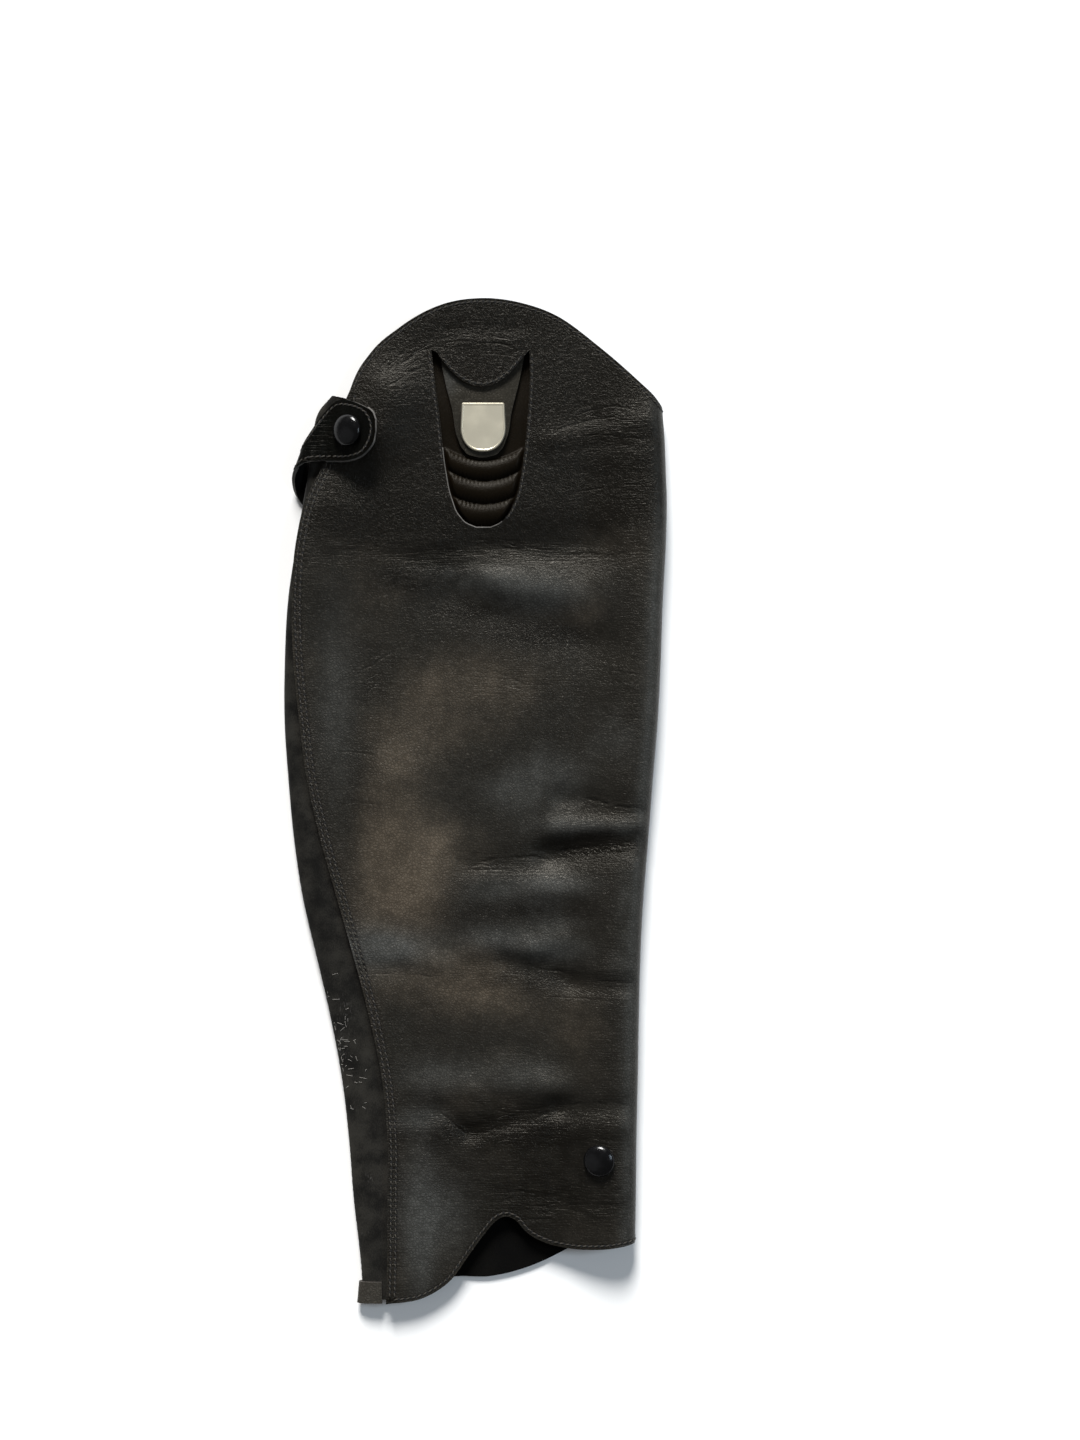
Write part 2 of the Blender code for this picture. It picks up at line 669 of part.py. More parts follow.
def zip_chain():
    """Builds the closed teeth as one plain strip that ends inside the slider."""

    def point(share, y):
        x = zip_line(y) + lerp(-CHAIN_WIDTH / 2, CHAIN_WIDTH / 2, share)
        return (x, y, lift(zip_line(y), y) + SEAM_GAP)

    rows = list(np.linspace(ZIP_BOTTOM, SLIDER_Y - 0.5, STRIP_ROWS + 1))
    return sheet("zip_chain", [0, 1], rows, point, CHAIN_HEIGHT, side=1)


def zip_box():
    """Builds the retainer box at the zip's lower end."""
    wide, tall, high = ZIP_BOX_SIZE
    y = ZIP_BOTTOM - SEAM_GAP - tall / 2
    turn = -math.atan2(zip_line(y + 4) - zip_line(y - 4), 8)
    piece = box("zip_box", (wide, tall, high), (zip_line(y), y, SEAM_GAP + high / 2), turn)
    bevel = piece.modifiers.new("edge", "BEVEL")
    bevel.width = 0.5 * MM
    bevel.segments = 1
    return piece


def zip_heading():
    """Gives the zip's turn about Z at the slider."""
    return -math.atan2(zip_line(SLIDER_Y + 4) - zip_line(SLIDER_Y - 4), 8)


def slider_frame():
    """Gives the slider's place in mm: its own Y runs up the zip and Z = 0 is the raised underside."""
    frame = Matrix.Rotation(zip_heading(), 4, "Z")
    frame.translation = Vector((zip_line(SLIDER_Y), SLIDER_Y, lift(zip_line(SLIDER_Y), SLIDER_Y)))
    return frame


def pivot_place():
    """Gives the pull tab's hinge axis point in the slider's own frame."""
    drop = SLIDER_PLATE + PIVOT_CLEARANCE + PULL_EYE_RADIUS
    return Vector((0, SLIDER_LENGTH / 2 - PIVOT_FROM_NOSE, -drop))


def zip_slider():
    """Builds the slider: two plates, the wedge between them, side walls and the ears for the pull."""
    frame = slider_frame()
    above = LEATHER + 2 * SEAM_GAP + TAPE
    wide = SLIDER_WIDTH / 2
    half = SLIDER_LENGTH / 2
    right = [(wide - SLIDER_TAIL_IN, -half), (wide, half - SLIDER_NOSE), (wide - SLIDER_NOSE_IN, half)]
    outline = right + [(-x, y) for x, y in reversed(right)]
    body = prism("zip_slider", outline, -SLIDER_PLATE, 0.0)
    place(body, frame)
    upper = prism("slider_upper_plate", outline, above, above + SLIDER_PLATE)
    place(upper, frame)
    boolean(body, upper, "UNION")
    wedge_outline = [(-WEDGE_HALF, half - WEDGE_BACK), (0, WEDGE_TIP), (WEDGE_HALF, half - WEDGE_BACK)]
    wedge = prism("slider_wedge", wedge_outline, -INTO_PLATE, above + INTO_PLATE)
    place(wedge, frame)
    boolean(body, wedge, "UNION")
    pivot = pivot_place()
    outside = wide - 0.1
    for side in (-1, 1):
        wall_outline = [
            (side * (outside - SLIDER_WALL), SLIDER_WALL_START),
            (side * outside, SLIDER_WALL_START + 1.6),
            (side * outside, half - SLIDER_NOSE - 0.1),
            (side * (outside - SLIDER_WALL + 0.2), half - SLIDER_NOSE + 0.2),
        ]
        wall = prism(f"slider_wall_{side}", wall_outline, -INTO_PLATE, LEATHER)
        place(wall, frame)
        boolean(body, wall, "UNION")
        ear = box(f"slider_ear_{side}", EAR_SIZE, (0, 0, 0))
        place(ear, frame @ Matrix.Translation(pivot + Vector((side * EAR_X, 0, EAR_UP))))
        boolean(body, ear, "UNION")
    across = Matrix.Rotation(math.pi / 2, 4, "Y")
    pin_frame = frame @ Matrix.Translation(pivot) @ across
    pin = cylinder("slider_pin", PIVOT_RADIUS, 2 * EAR_X + 0.2, pin_frame, 12)
    boolean(body, pin, "UNION")
    return body


def zip_pull():
    """Builds the pull tab, hung on the slider's pin and lying down the zip."""
    frame = slider_frame() @ Matrix.Translation(pivot_place())
    half = PULL_WIDTH / 2
    thick = PULL_THICKNESS / 2
    side = [(PULL_NECK, 0.0), (PULL_NECK, -PULL_SHOULDER), (half, -PULL_SHOULDER - PULL_FLARE)]
    side.append((half, -PULL_LENGTH + PULL_END_RISE[0]))
    side.append((half - PULL_END_IN[0], -PULL_LENGTH + PULL_END_RISE[1]))
    side.append((half - PULL_END_IN[1], -PULL_LENGTH))
    tab = prism("zip_pull", side + [(-x, y) for x, y in reversed(side)], -thick, thick)
    place(tab, frame)
    across = Matrix.Rotation(math.pi / 2, 4, "Y")
    eye = cylinder("pull_eye", PULL_EYE_RADIUS, 2 * PULL_NECK, frame @ across)
    boolean(tab, eye, "UNION")
    bore = cylinder("pull_bore", PIVOT_RADIUS + PIVOT_CLEARANCE, 3 * PULL_NECK, frame @ across)
    boolean(tab, bore, "DIFFERENCE")
    corners = [(-WINDOW_HALF, WINDOW_LOW), (WINDOW_HALF, WINDOW_LOW)]
    corners += [(WINDOW_HALF, WINDOW_HIGH), (-WINDOW_HALF, WINDOW_HIGH)]
    window = prism("pull_window", corners, -PULL_THICKNESS, PULL_THICKNESS)
    place(window, frame)
    boolean(tab, window, "DIFFERENCE")
    return tab


def strap_point(row, share):
    """Gives a point of the strap's outer side, by its place along the rows and across from above."""
    upper = Vector([strap_curves[name](row) for name in ("upper_x", "upper_y", "upper_z")])
    lower = Vector([strap_curves[name](row) for name in ("lower_x", "lower_y", "lower_z")])
    place_on_strap = upper.lerp(lower, share)
    place_on_strap.z = max(place_on_strap.z, 0.0)
    return place_on_strap


def strap():
    """Builds the strap as one wall from its snapped end round the calf to its sewn end."""
    last = len(STRAP_ROWS) - 1
    rows = [k / 2 for k in range(2 * last + 1)]
    return sheet("strap", rows, [k / 6 for k in range(7)], strap_point, STRAP)


def snap_frame():
    """Gives the strap snap's place on the strap's outer side, Z outwards."""
    return surface_frame(strap_point, SNAP_ROW, 0.5)


def domed_cap(name, frame):
    """Builds a snap's domed cap, standing just clear of the leather."""
    radius = CAP_DIAMETER / 2
    arc = [math.radians(a) for a in (0, 18, 36, 52, 66, 78)]
    profile = [(radius * math.sin(a), lerp(CAP_RIM, CAP_HEIGHT, math.cos(a))) for a in arc]
    profile += [(radius, CAP_RIM), (radius - CAP_FOOT, CAP_SHOULDER)]
    profile += [(CAP_SEAT_RADIUS, CAP_FOOT), (CAP_SEAT_RADIUS, 0), (0, 0)]
    cap = turned(name, profile)
    place(cap, frame @ Matrix.Translation((0, 0, SEAM_GAP)))
    return cap


def snap_disc(name, frame, radius, top, bottom):
    """Builds the round socket or stud of a snap, between two heights along its axis."""
    profile = [(0, top), (radius - DISC_LIP, top), (radius, top - DISC_LIP)]
    profile += [(radius, bottom + DISC_LIP), (radius - DISC_LIP, bottom), (0, bottom)]
    disc = turned(name, profile, 16)
    place(disc, frame)
    return disc


def clearance_below(frame, start):
    """Gives the distance from the strap's inner side down the snap's axis to the leather."""
    depth = start
    while depth < PROBE_DEPTH:
        x, y, z = frame @ Vector((0, 0, -depth))
        if z <= face_height(x, y):
            return depth
        depth += PROBE_STEP
    return depth


def snaps():
    """Builds the strap's snap and the ankle's snap, each with what is under the leather."""
    frame = snap_frame()
    domed_cap("strap_snap_cap", frame)
    top = STRAP + SEAM_GAP
    seat = clearance_below(frame, top) - SNAP_SEAT_GAP
    middle = (top + seat) / 2
    snap_disc("strap_snap_socket", frame, SOCKET_RADIUS, -top, -middle)
    snap_disc("strap_snap_stud", frame, STUD_RADIUS, -middle - SEAM_GAP, -seat)
    ankle = surface_frame(face_point, ANKLE_SNAP_X, ANKLE_SNAP_Y, 0.5)
    domed_cap("ankle_snap_cap", ankle)
    under = LEATHER + SEAM_GAP
    snap_disc("ankle_snap_socket", ankle, SOCKET_RADIUS, -under, -under - DISC_HEIGHT)


def rib_height(x, y):
    """Gives how far the padded ribs stand up at a place."""
    bent = y - RIB_SAG * ((x - RIB_X) / RIB_REACH) ** 2
    height = 0.0
    for low, high in zip(RIB_SEAMS, RIB_SEAMS[1:]):
        if low < bent < high:
            height = RIB_HEIGHT * math.sin(math.pi * (bent - low) / (high - low)) ** RIB_FULLNESS
    edge = min(x - hole_left(y), hole_right(y) - x)
    return height * smoothstep(edge / RIB_END)


def tongue_depth(x, y):
    """Gives how far the tongue lies below the leather's face."""
    under = LEATHER + LINING_GAP
    return under - TONGUE_STANDS * smoothstep((TONGUE_LOW - y) / (TONGUE_LOW - TONGUE_HIGH))


def pad_depth(x, y):
    """Gives how far the ribbed pad lies below the leather's face."""
    below_tongue = tongue_depth(x, y) + TONGUE + LINING_GAP
    return max(LEATHER + LINING_GAP, below_tongue) - rib_height(x, y)


def pad_x(k, y):
    """Gives the x of one of the pad's columns, which follow the hole's sides."""
    laps = len(PAD_LAPS)
    left = hole_left(y)
    right = hole_right(y)
    if k < laps:
        return left + PAD_LAPS[k]
    last = 2 * laps + PAD_MIDDLE_COLUMNS - 2
    if k > last - laps:
        return right - PAD_LAPS[last - k]
    return lerp(left + PAD_LAPS[-1], right - PAD_LAPS[-1], (k - laps + 1) / PAD_MIDDLE_COLUMNS)


def badge_pad():
    """Builds the ribbed pad behind the badge's hole, with a plain back."""
    rib_rows = list(np.linspace(PAD_BOTTOM, RIB_SEAMS[-1] + 6, 21))
    top_rows = list(np.linspace(RIB_SEAMS[-1] + 12, PAD_TOP, 6))
    upper = below_face(pad_depth)
    lower = below_face(lambda x, y: pad_depth(x, y) + rib_height(x, y) + PAD)
    rows = rib_rows + top_rows
    columns = range(2 * len(PAD_LAPS) + PAD_MIDDLE_COLUMNS - 1)
    return closed_slab(
        "badge_pad", columns, rows,
        lambda k, y: upper(pad_x(k, y), y), lambda k, y: lower(pad_x(k, y), y),
    )


def closed_slab(name, across, along, upper, lower):
    """Builds a wall with an upper and a lower side of their own, from one grid extruded."""
    mesh = bpy.data.meshes.new(name)
    bm = bmesh.new()
    last_across = len(across) - 1
    last_along = len(along) - 1
    bmesh.ops.create_grid(bm, x_segments=last_across, y_segments=last_along, size=1)
    grid = {}
    for vert in bm.verts:
        grid[vert] = (
            across[round((vert.co.x + 1) / 2 * last_across)],
            along[round((vert.co.y + 1) / 2 * last_along)],
        )
    bottom = bmesh.ops.extrude_face_region(bm, geom=list(bm.faces))
    raised = [item for item in bottom["geom"] if isinstance(item, bmesh.types.BMVert)]
    for vert in raised:
        x = across[round((vert.co.x + 1) / 2 * last_across)]
        y = along[round((vert.co.y + 1) / 2 * last_along)]
        vert.co = Vector(upper(x, y)) * MM
    for vert, (x, y) in grid.items():
        vert.co = Vector(lower(x, y)) * MM
    bmesh.ops.recalc_face_normals(bm, faces=bm.faces)
    for face in bm.faces:
        face.smooth = True
    bm.to_mesh(mesh)
    bm.free()
    return add_object(name, mesh)


def badge_tongue():
    """Builds the leather tongue that comes out from under the curved edge and carries the plate."""
    upper = below_face(tongue_depth)

    def point(share, y):
        return upper(TONGUE_X + share * tongue_half(y), y)

    rows = [row.y for row in TONGUE_ROWS[:4]] + list(np.linspace(177, TONGUE_ROWS[-1].y, 10))
    return sheet("badge_tongue", list(np.linspace(-1, 1, 9)), rows, point, TONGUE)


def plate_outline():
    """Gives the plate's outline about its own middle: straight top, rounded foot."""
    middle = (PLATE_TOP + PLATE_BOTTOM) / 2
    side = [(PLATE_HALF_TOP - PLATE_CORNER, PLATE_TOP - middle)]
    side.append((PLATE_HALF_TOP, PLATE_TOP - PLATE_CORNER - middle))
    for k in range(8):
        angle = math.pi / 2 * k / 8
        x = PLATE_HALF_WIDE * math.cos(angle) ** PLATE_ROUND
        side.append((x, PLATE_SHOULDER - (PLATE_SHOULDER - PLATE_BOTTOM) * math.sin(angle) - middle))
    foot = [(0.0, PLATE_BOTTOM - middle)]
    return side + foot + [(-x, y) for x, y in reversed(side)]


def badge_plate():
    """Builds the bare metal plate on the tongue."""
    middle = (PLATE_TOP + PLATE_BOTTOM) / 2
    frame = surface_frame(below_face(tongue_depth), PLATE_X, middle, 3.0)
    plate = prism("badge_plate", plate_outline(), SEAM_GAP, SEAM_GAP + PLATE_THICKNESS)
    place(plate, frame)
    bevel = plate.modifiers.new("edge", "BEVEL")
    bevel.width = PLATE_EDGE * MM
    bevel.segments = 1
    bevel.limit_method = "ANGLE"
    bevel.angle_limit = math.radians(60)
    return plate


def edge_inset(x, inset):
    """Gives the place a distance in from the swagger top's edge."""
    step = 0.5
    along = Vector((2 * step, outer_top(x + step) - outer_top(x - step))).normalized()
    return Vector((x, outer_top(x))) + Vector((along.y, -along.x)) * inset


def top_facing():
    """Builds the facing strip inside the curved top edge."""
    inner = below_face(LEATHER + LINING_GAP)
    across = list(np.linspace(*FACING_ENDS, 24))
    return sheet(
        "top_facing", across, [FACING_WIDTH, FACING_WIDTH / 2, 0.8],
        lambda x, inset: inner(*edge_inset(x, inset)), LINING,
    )


def mesh_patch():
    """Builds the mesh lining behind the badge, up to the facing's lower edge."""
    inner = below_face(lambda x, y: pad_depth(x, y) + rib_height(x, y) + PAD + SEAM_GAP)

    def point(x, share):
        high = edge_inset(x, FACING_WIDTH + 2.4).y
        return inner(x, lerp(MESH_BOTTOM, high, share))

    across = list(np.linspace(MESH_LEFT, MESH_RIGHT, 10))
    return sheet("mesh_patch", across, [k / 9 for k in range(10)], point, LINING)


for old in list(bpy.data.objects):
    bpy.data.objects.remove(old)

chap = bpy.data.collections.new("half_chap")
cutters = bpy.data.collections.new("cutters")
bpy.context.scene.collection.children.link(chap)
bpy.context.scene.collection.children.link(cutters)

strap_curves = {
    name: smooth_curve(range(len(STRAP_ROWS)), [getattr(row, name) for row in STRAP_ROWS])
    for name in StrapRow._fields
}

LEATHER_FINISH = material("black_leather", (0.022, 0.019, 0.017), 0.45)
SUEDE_FINISH = material("charcoal_suede", (0.02, 0.02, 0.021), 0.95)
TAPE_FINISH = material("zip_tape", (0.016, 0.016, 0.017), 0.9)
TEETH_FINISH = material("zip_teeth", (0.02, 0.02, 0.021), 0.4)
DARK_METAL_FINISH = material("dark_metal", (0.11, 0.11, 0.115), 0.3, 1.0)
CAP_FINISH = material("black_enamel", (0.008, 0.008, 0.009), 0.12)
PLATE_FINISH = material("pale_metal", (0.72, 0.69, 0.62), 0.25, 1.0)
MESH_FINISH = material("mesh_lining", (0.03, 0.03, 0.031), 0.9)


def build():
    """Builds every piece and gives each its material."""
    leather_body()
    back_gusset()
    gusset_end_tab()
    zip_half("zip_tape_leather_side", 1, TAPE_WIDTH_LEATHER)
    zip_half("zip_tape_gusset_side", -1, TAPE_WIDTH_GUSSET)
    zip_chain()
    zip_box()
    zip_slider()
    zip_pull()
    strap()
    snaps()
    badge_pad()
    badge_tongue()
    badge_plate()
    top_facing()
    mesh_patch()
    finishes = {
        LEATHER_FINISH: (
            "leather_body", "gusset_end_tab", "strap", "badge_pad", "badge_tongue", "top_facing",
        ),
        SUEDE_FINISH: ("back_gusset",),
        TAPE_FINISH: ("zip_tape_leather_side", "zip_tape_gusset_side"),
        TEETH_FINISH: ("zip_chain",),
        DARK_METAL_FINISH: (
            "zip_slider", "zip_box", "zip_pull",
            "strap_snap_socket", "strap_snap_stud", "ankle_snap_socket",
        ),
        CAP_FINISH: ("strap_snap_cap", "ankle_snap_cap"),
        PLATE_FINISH: ("badge_plate",),
        MESH_FINISH: ("mesh_patch",),
    }
    for finish, names in finishes.items():
        for name in names:
            bpy.data.objects[name].data.materials.append(finish)


build()
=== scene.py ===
"""The look of a tall black leather half chap that lies flat on its inner side.

Sizes are millimetres until a mesh is made. X runs from the calf (left) to the shin (right), Y from
the ankle up to the knee and Z up from the floor. The tables of the leg's form are those of the
part's source, so every piece here lies where its solid lies, with finer folds, sewing and finish.
"""

from __future__ import annotations

import logging
import math
from dataclasses import dataclass, field
from enum import Enum
from typing import Callable, NamedTuple, Sequence, TypeVar

import bmesh
import bpy
import numpy as np
from mathutils import Matrix, Vector

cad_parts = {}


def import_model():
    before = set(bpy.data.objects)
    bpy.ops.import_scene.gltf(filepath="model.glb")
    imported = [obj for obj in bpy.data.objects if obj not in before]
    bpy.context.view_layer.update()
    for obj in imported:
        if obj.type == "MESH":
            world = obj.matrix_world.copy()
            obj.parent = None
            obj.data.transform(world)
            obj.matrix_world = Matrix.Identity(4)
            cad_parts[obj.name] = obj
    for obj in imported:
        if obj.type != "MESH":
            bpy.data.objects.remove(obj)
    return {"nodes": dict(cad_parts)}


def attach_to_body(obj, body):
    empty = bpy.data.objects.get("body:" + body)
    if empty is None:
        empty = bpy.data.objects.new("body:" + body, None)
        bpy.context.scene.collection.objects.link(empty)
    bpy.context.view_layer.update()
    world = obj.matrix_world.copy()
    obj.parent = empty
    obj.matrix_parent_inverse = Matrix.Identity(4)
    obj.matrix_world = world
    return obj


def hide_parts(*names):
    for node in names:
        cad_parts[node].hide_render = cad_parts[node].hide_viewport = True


LOG = logging.getLogger("half_chap")
MM = 0.001
CHAP_BODY = "half_chap"

Array = np.ndarray
Curve = Callable[[Array], Array]
Surface = Callable[[Array, Array], Array]
Run = tuple[Array, Array]
Place = tuple[float, float, float]
Colour = tuple[float, float, float, float]
Piece = bpy.types.Object
Material = bpy.types.Material
Node = bpy.types.Node
Socket = bpy.types.NodeSocket
Sockets = dict[str, Socket]
Row = TypeVar("Row")


class Slot(Enum):
    """Names of material slots, one passed with each piece."""

    LEATHER = "black_leather"
    SUEDE = "charcoal_suede"
    TAPE = "zip_tape"
    TEETH = "zip_teeth"
    ENAMEL = "black_enamel"
    PLATE = "pale_metal"
    MESH = "mesh_lining"
    THREAD = "thread"


class Hold(Enum):
    """How a cut piece is held."""

    FOLDED = "folded"
    LAID = "laid"


# The leg's form, as in the part's source


class Station(NamedTuple):
    """A section across the leg: the places of its folds and seams, and the heights there."""

    y: float
    back_fold: float
    calf_seam: float
    shin: float
    seam_height: float
    plateau: float
    shin_height: float
    zip_in: float


class EdgePoint(NamedTuple):
    """A point of a cut edge, seen from above."""

    x: float
    y: float


class Fold(NamedTuple):
    """A soft ridge (height above 0) or trough (below 0) along a line."""

    x0: float
    y0: float
    x1: float
    y1: float
    height: float
    width: float


class GussetTop(NamedTuple):
    """The height of the suede strip's top edge along the strip's own width."""

    g: float
    y: float


class StrapRow(NamedTuple):
    """The strap's two long edges at one place along it."""

    upper_x: float
    upper_y: float
    upper_z: float
    lower_x: float
    lower_y: float
    lower_z: float


class HoleRow(NamedTuple):
    """The sides of the badge's hole at one height."""

    y: float
    left: float
    right: float


class TongueRow(NamedTuple):
    """Half the tongue's width at one height."""

    y: float
    half_width: float


class Crease(NamedTuple):
    """A thin crease in the skin, bowed up by some amount at its middle."""

    x0: float
    y0: float
    x1: float
    y1: float
    bow: float
    width: float
    depth: float


class Patch(NamedTuple):
    """A soft round patch of some effect: its middle, its half sizes and its strength."""

    x: float
    y: float
    half_x: float
    half_y: float
    strength: float


def table(kind: Callable[..., Row], rows: Sequence[Sequence[object]]) -> tuple[Row, ...]:
    """Makes each row of values one of a kind."""
    return tuple(kind(*row) for row in rows)


STATIONS = table(Station, (
    (240, -68.5, -61, 88.9, 8.8, 7, 11.8, 17.5), (215, -68.5, -61, 88.9, 8.8, 8.6, 12.3, 17.5),
    (193, -68.5, -61, 88.9, 8.8, 9, 12.9, 17.5), (187, -73.7, -62.2, 89, 8.8, 9, 13.3, 17.5),
    (171.5, -77.6, -67.6, 90.1, 8.8, 9, 14, 17.5), (157.5, -79.4, -73.3, 90.6, 9.4, 9, 14.4, 17.5),
    (143, -81.8, -80.2, 91.1, 10.4, 9, 14.8, 17), (124, -84.9, -84.7, 90.7, 10.7, 8.4, 15, 15.5),
    (96, -89.2, -87, 89.2, 9.8, 7.6, 15, 13.6), (67, -90.9, -86.3, 88.2, 8.8, 7.2, 14.8, 12.6),
    (39, -91.1, -83.7, 86.8, 8.2, 7, 14.8, 12.2), (10, -89.2, -79.9, 84.4, 8.1, 7, 14.6, 12),
    (-18, -86.6, -73.5, 82.3, 8.1, 7.2, 14.2, 11.8), (-47, -82.2, -65.4, 79.9, 8.1, 7.4, 14.4, 11.5),
    (-75, -75.6, -57.4, 78.5, 8, 7, 13.8, 11.2), (-104, -69, -50, 77.8, 8, 6.8, 13.8, 11),
    (-132, -63.8, -44.3, 77.3, 8, 6.9, 13.6, 11), (-161, -60.4, -41.7, 76.7, 7.9, 7.2, 13.4, 11),
    (-189, -58.2, -41.7, 76.4, 7.8, 7.2, 13.2, 11), (-218, -54.9, -41.9, 75.9, 7.8, 7, 13.2, 11),
    (-240, -53.2, -42.4, 75.9, 7.8, 7, 13.2, 11),
))
OUTER_TOP = table(EdgePoint, (
    (-61, 190.5), (-57.1, 201.2), (-50, 212.4), (-35.7, 225.2), (-16.7, 235.6), (2.3, 238.9),
    (21.3, 236.8), (40.3, 229.7), (59.3, 215.4), (78.3, 198.3), (85.4, 191.4), (88.9, 187),
))
INNER_TOP = table(EdgePoint, (
    (-51, 187.4), (-30.7, 178.3), (-7.1, 174.2), (20, 171), (45.4, 169.6), (58.2, 171.1), (71.3, 174.7),
    (83.8, 181.9), (88.9, 187),
))
OUTER_HEM = table(EdgePoint, (
    (-42.4, -238.9), (-24.8, -236.1), (-16.7, -231.8), (-11, -227), (-4, -217.2), (4.2, -205.9),
    (10.4, -199), (14.6, -197.3), (19, -199), (24.1, -204.5), (33.1, -209.7), (43.6, -212.1),
    (59.3, -212.1), (75.9, -209.4),
))
INNER_HEM = table(EdgePoint, (
    (-41, -236.8), (-26.2, -231.8), (-11, -227.2), (7, -226.9), (26, -222.1), (46.4, -212.3),
    (59.5, -204.6), (66, -200.6), (71, -200), (74.5, -203.6), (75.9, -209.4),
))
LARGE_FOLDS = table(Fold, (
    (-46, 178, -40, 192, 3.4, 15), (-64, 138, -70, 104, 2.7, 13), (-40, 205, -12, 222, -0.9, 6),
    (36, 172, 84, 180, 0.9, 6), (-72, 118, 76, 117, -1, 4.5), (6, 106, 58, 103, 1.4, 9),
    (-12, 101, 58, 76, -1.7, 12), (42, 1, 80, -6, -1.8, 6.5), (38, -13, 78, -11, 1.3, 5),
    (34, -24, 76, -17, -2.3, 6.5), (-36, 6, -22, -46, 1.9, 20), (-4, -30, 40, -28, -1.6, 6),
    (-34, -72, -18, -77, 1.2, 6), (26, -70, 42, -66, 1.2, 6), (16, -76, 46, -83, -1.8, 6.5),
    (46, -88, 78, -87, -1.2, 5), (12, -128, 34, -134, 1.2, 8), (-17, -147, -3, -158, -1.6, 5.5),
    (-3, -158, 40, -146, -1.6, 5.5), (40, -146, 76, -144, -1.2, 5),
))
GUSSET_TOP = table(GussetTop, (
    (0, 188.6), (0.7, 190.6), (1, 192.4), (1.5, 193.1), (3, 191),
))
STRAP_ROWS = table(StrapRow, (
    (-46.6, 180, 21.6, -46.5, 174, 21.4), (-48.2, 183.6, 21.4, -48, 168.4, 21),
    (-52.4, 186.4, 19.9, -53, 163.2, 19.5), (-59, 189.2, 16.1, -60, 161.2, 15.7),
    (-66, 189.4, 12, -67.5, 161.4, 12.3), (-72.8, 182.6, 10.9, -75, 161.4, 12),
    (-78, 175.2, 10.7, -81, 160.6, 11.9), (-81.4, 170.2, 9, -85.6, 157.6, 9.6),
    (-82.3, 167.6, 5.4, -87.3, 153, 5.6), (-81.4, 166, 1.9, -86.2, 146.6, 1.8),
    (-77.6, 166.4, 0, -82, 141, 0), (-69, 171.2, 0, -74, 140.2, 0), (-61, 178, 0, -64, 145.6, 0),
    (-54.5, 183.6, 0, -50, 160, 0), (-49, 186.4, 0, -38, 175, 0),
))
HOLE_SIDES = table(HoleRow, (
    (130.1, 0.6, 7.2), (131.6, -3.2, 10.8), (135.4, -7.4, 14.8), (143.2, -11, 19), (157.5, -14.1, 22.2),
    (181.2, -16.7, 24.8), (205, -19.8, 26), (214.5, -20.8, 25.8),
))
TONGUE_ROWS = table(TongueRow, (
    (163.4, 1.6), (164.3, 5.2), (167, 8.8), (172, 11.4), (186, 14.2), (198, 17.2), (213, 20.2), (217, 21),
))

# Finer folds and creases, which the part's source leaves to the looks
SMALL_FOLDS = table(Fold, (
    (-72, 118, 76, 117, 0.82, 4.5), (-24, 103, 6, 105, 0.7, 7), (-17, -147, -3, -158, 0.5, 5.5),
    (-3, -158, 40, -146, 0.6, 5.5), (-27, -170, -28, -226, 0.9, 7), (-8, -176, -6, -200, -0.5, 8),
    (4, 122, 58, 121, -1, 10), (12, 100, 46, 97, 1.5, 8), (-4, -30, 40, -28, 0.6, 6),
    (24, -43, 50, -42, 1, 6), (34, -29, 76, -23, -0.9, 6), (2, -137, 40, -137, 1.1, 7),
    (-26, -136, -6, -137, 0.7, 6), (-62, -72, -36, -73, 0.7, 6), (0, -70, 24, -71, 0.8, 6),
    (-36, -157, -20, -158, 0.5, 5), (-34, 115.5, -6, 119, -0.3, 3.2), (14, 119, 38, 116, -0.3, 3.2),
    (46, -158, 66, -154, 0.5, 6), (-40, 205, -12, 222, 0.65, 6), (-24, 250, 34, 250, 2.6, 24),
    (-64, 140, -70, 106, -1.4, 13), (-48, 196, -20, 215, 0.14, 3.2), (-10, 219, 22, 219, 0.16, 3),
    (-14, 224, 24, 225, -0.22, 2.6), (36, 176, 58, 181, -0.16, 3.4), (58, 181, 80, 177, -0.16, 3.4),
    (40, 163, 82, 164, 0.4, 6), (-70, 121, -20, 122, 0.22, 3), (-30, 113, 20, 112, -0.33, 2.6),
    (0, 120.5, 50, 122, -0.22, 2.4), (-62, 60, -38, 74, -0.12, 4), (-12, 68, 28, 53, -0.12, 4.2),
    (44, -3, 80, -1, 0.33, 3), (-4, -38, 36, -36, 0.28, 3.4), (-60, -62, -34, -66, 0.28, 4),
    (-52, -80, -18, -84, -0.28, 3), (44, -80, 78, -79, 0.28, 3), (-16, -152.5, -2, -163, 0.33, 3),
    (0, -163, 40, -152, 0.28, 3), (12, -185, 40, -189, -0.22, 2.6), (30, -193, 72, -191, -0.19, 2.4),
    (46, -176, 52, -183, -0.28, 2.6), (66, -160, 71, -167, -0.22, 2.6),
))

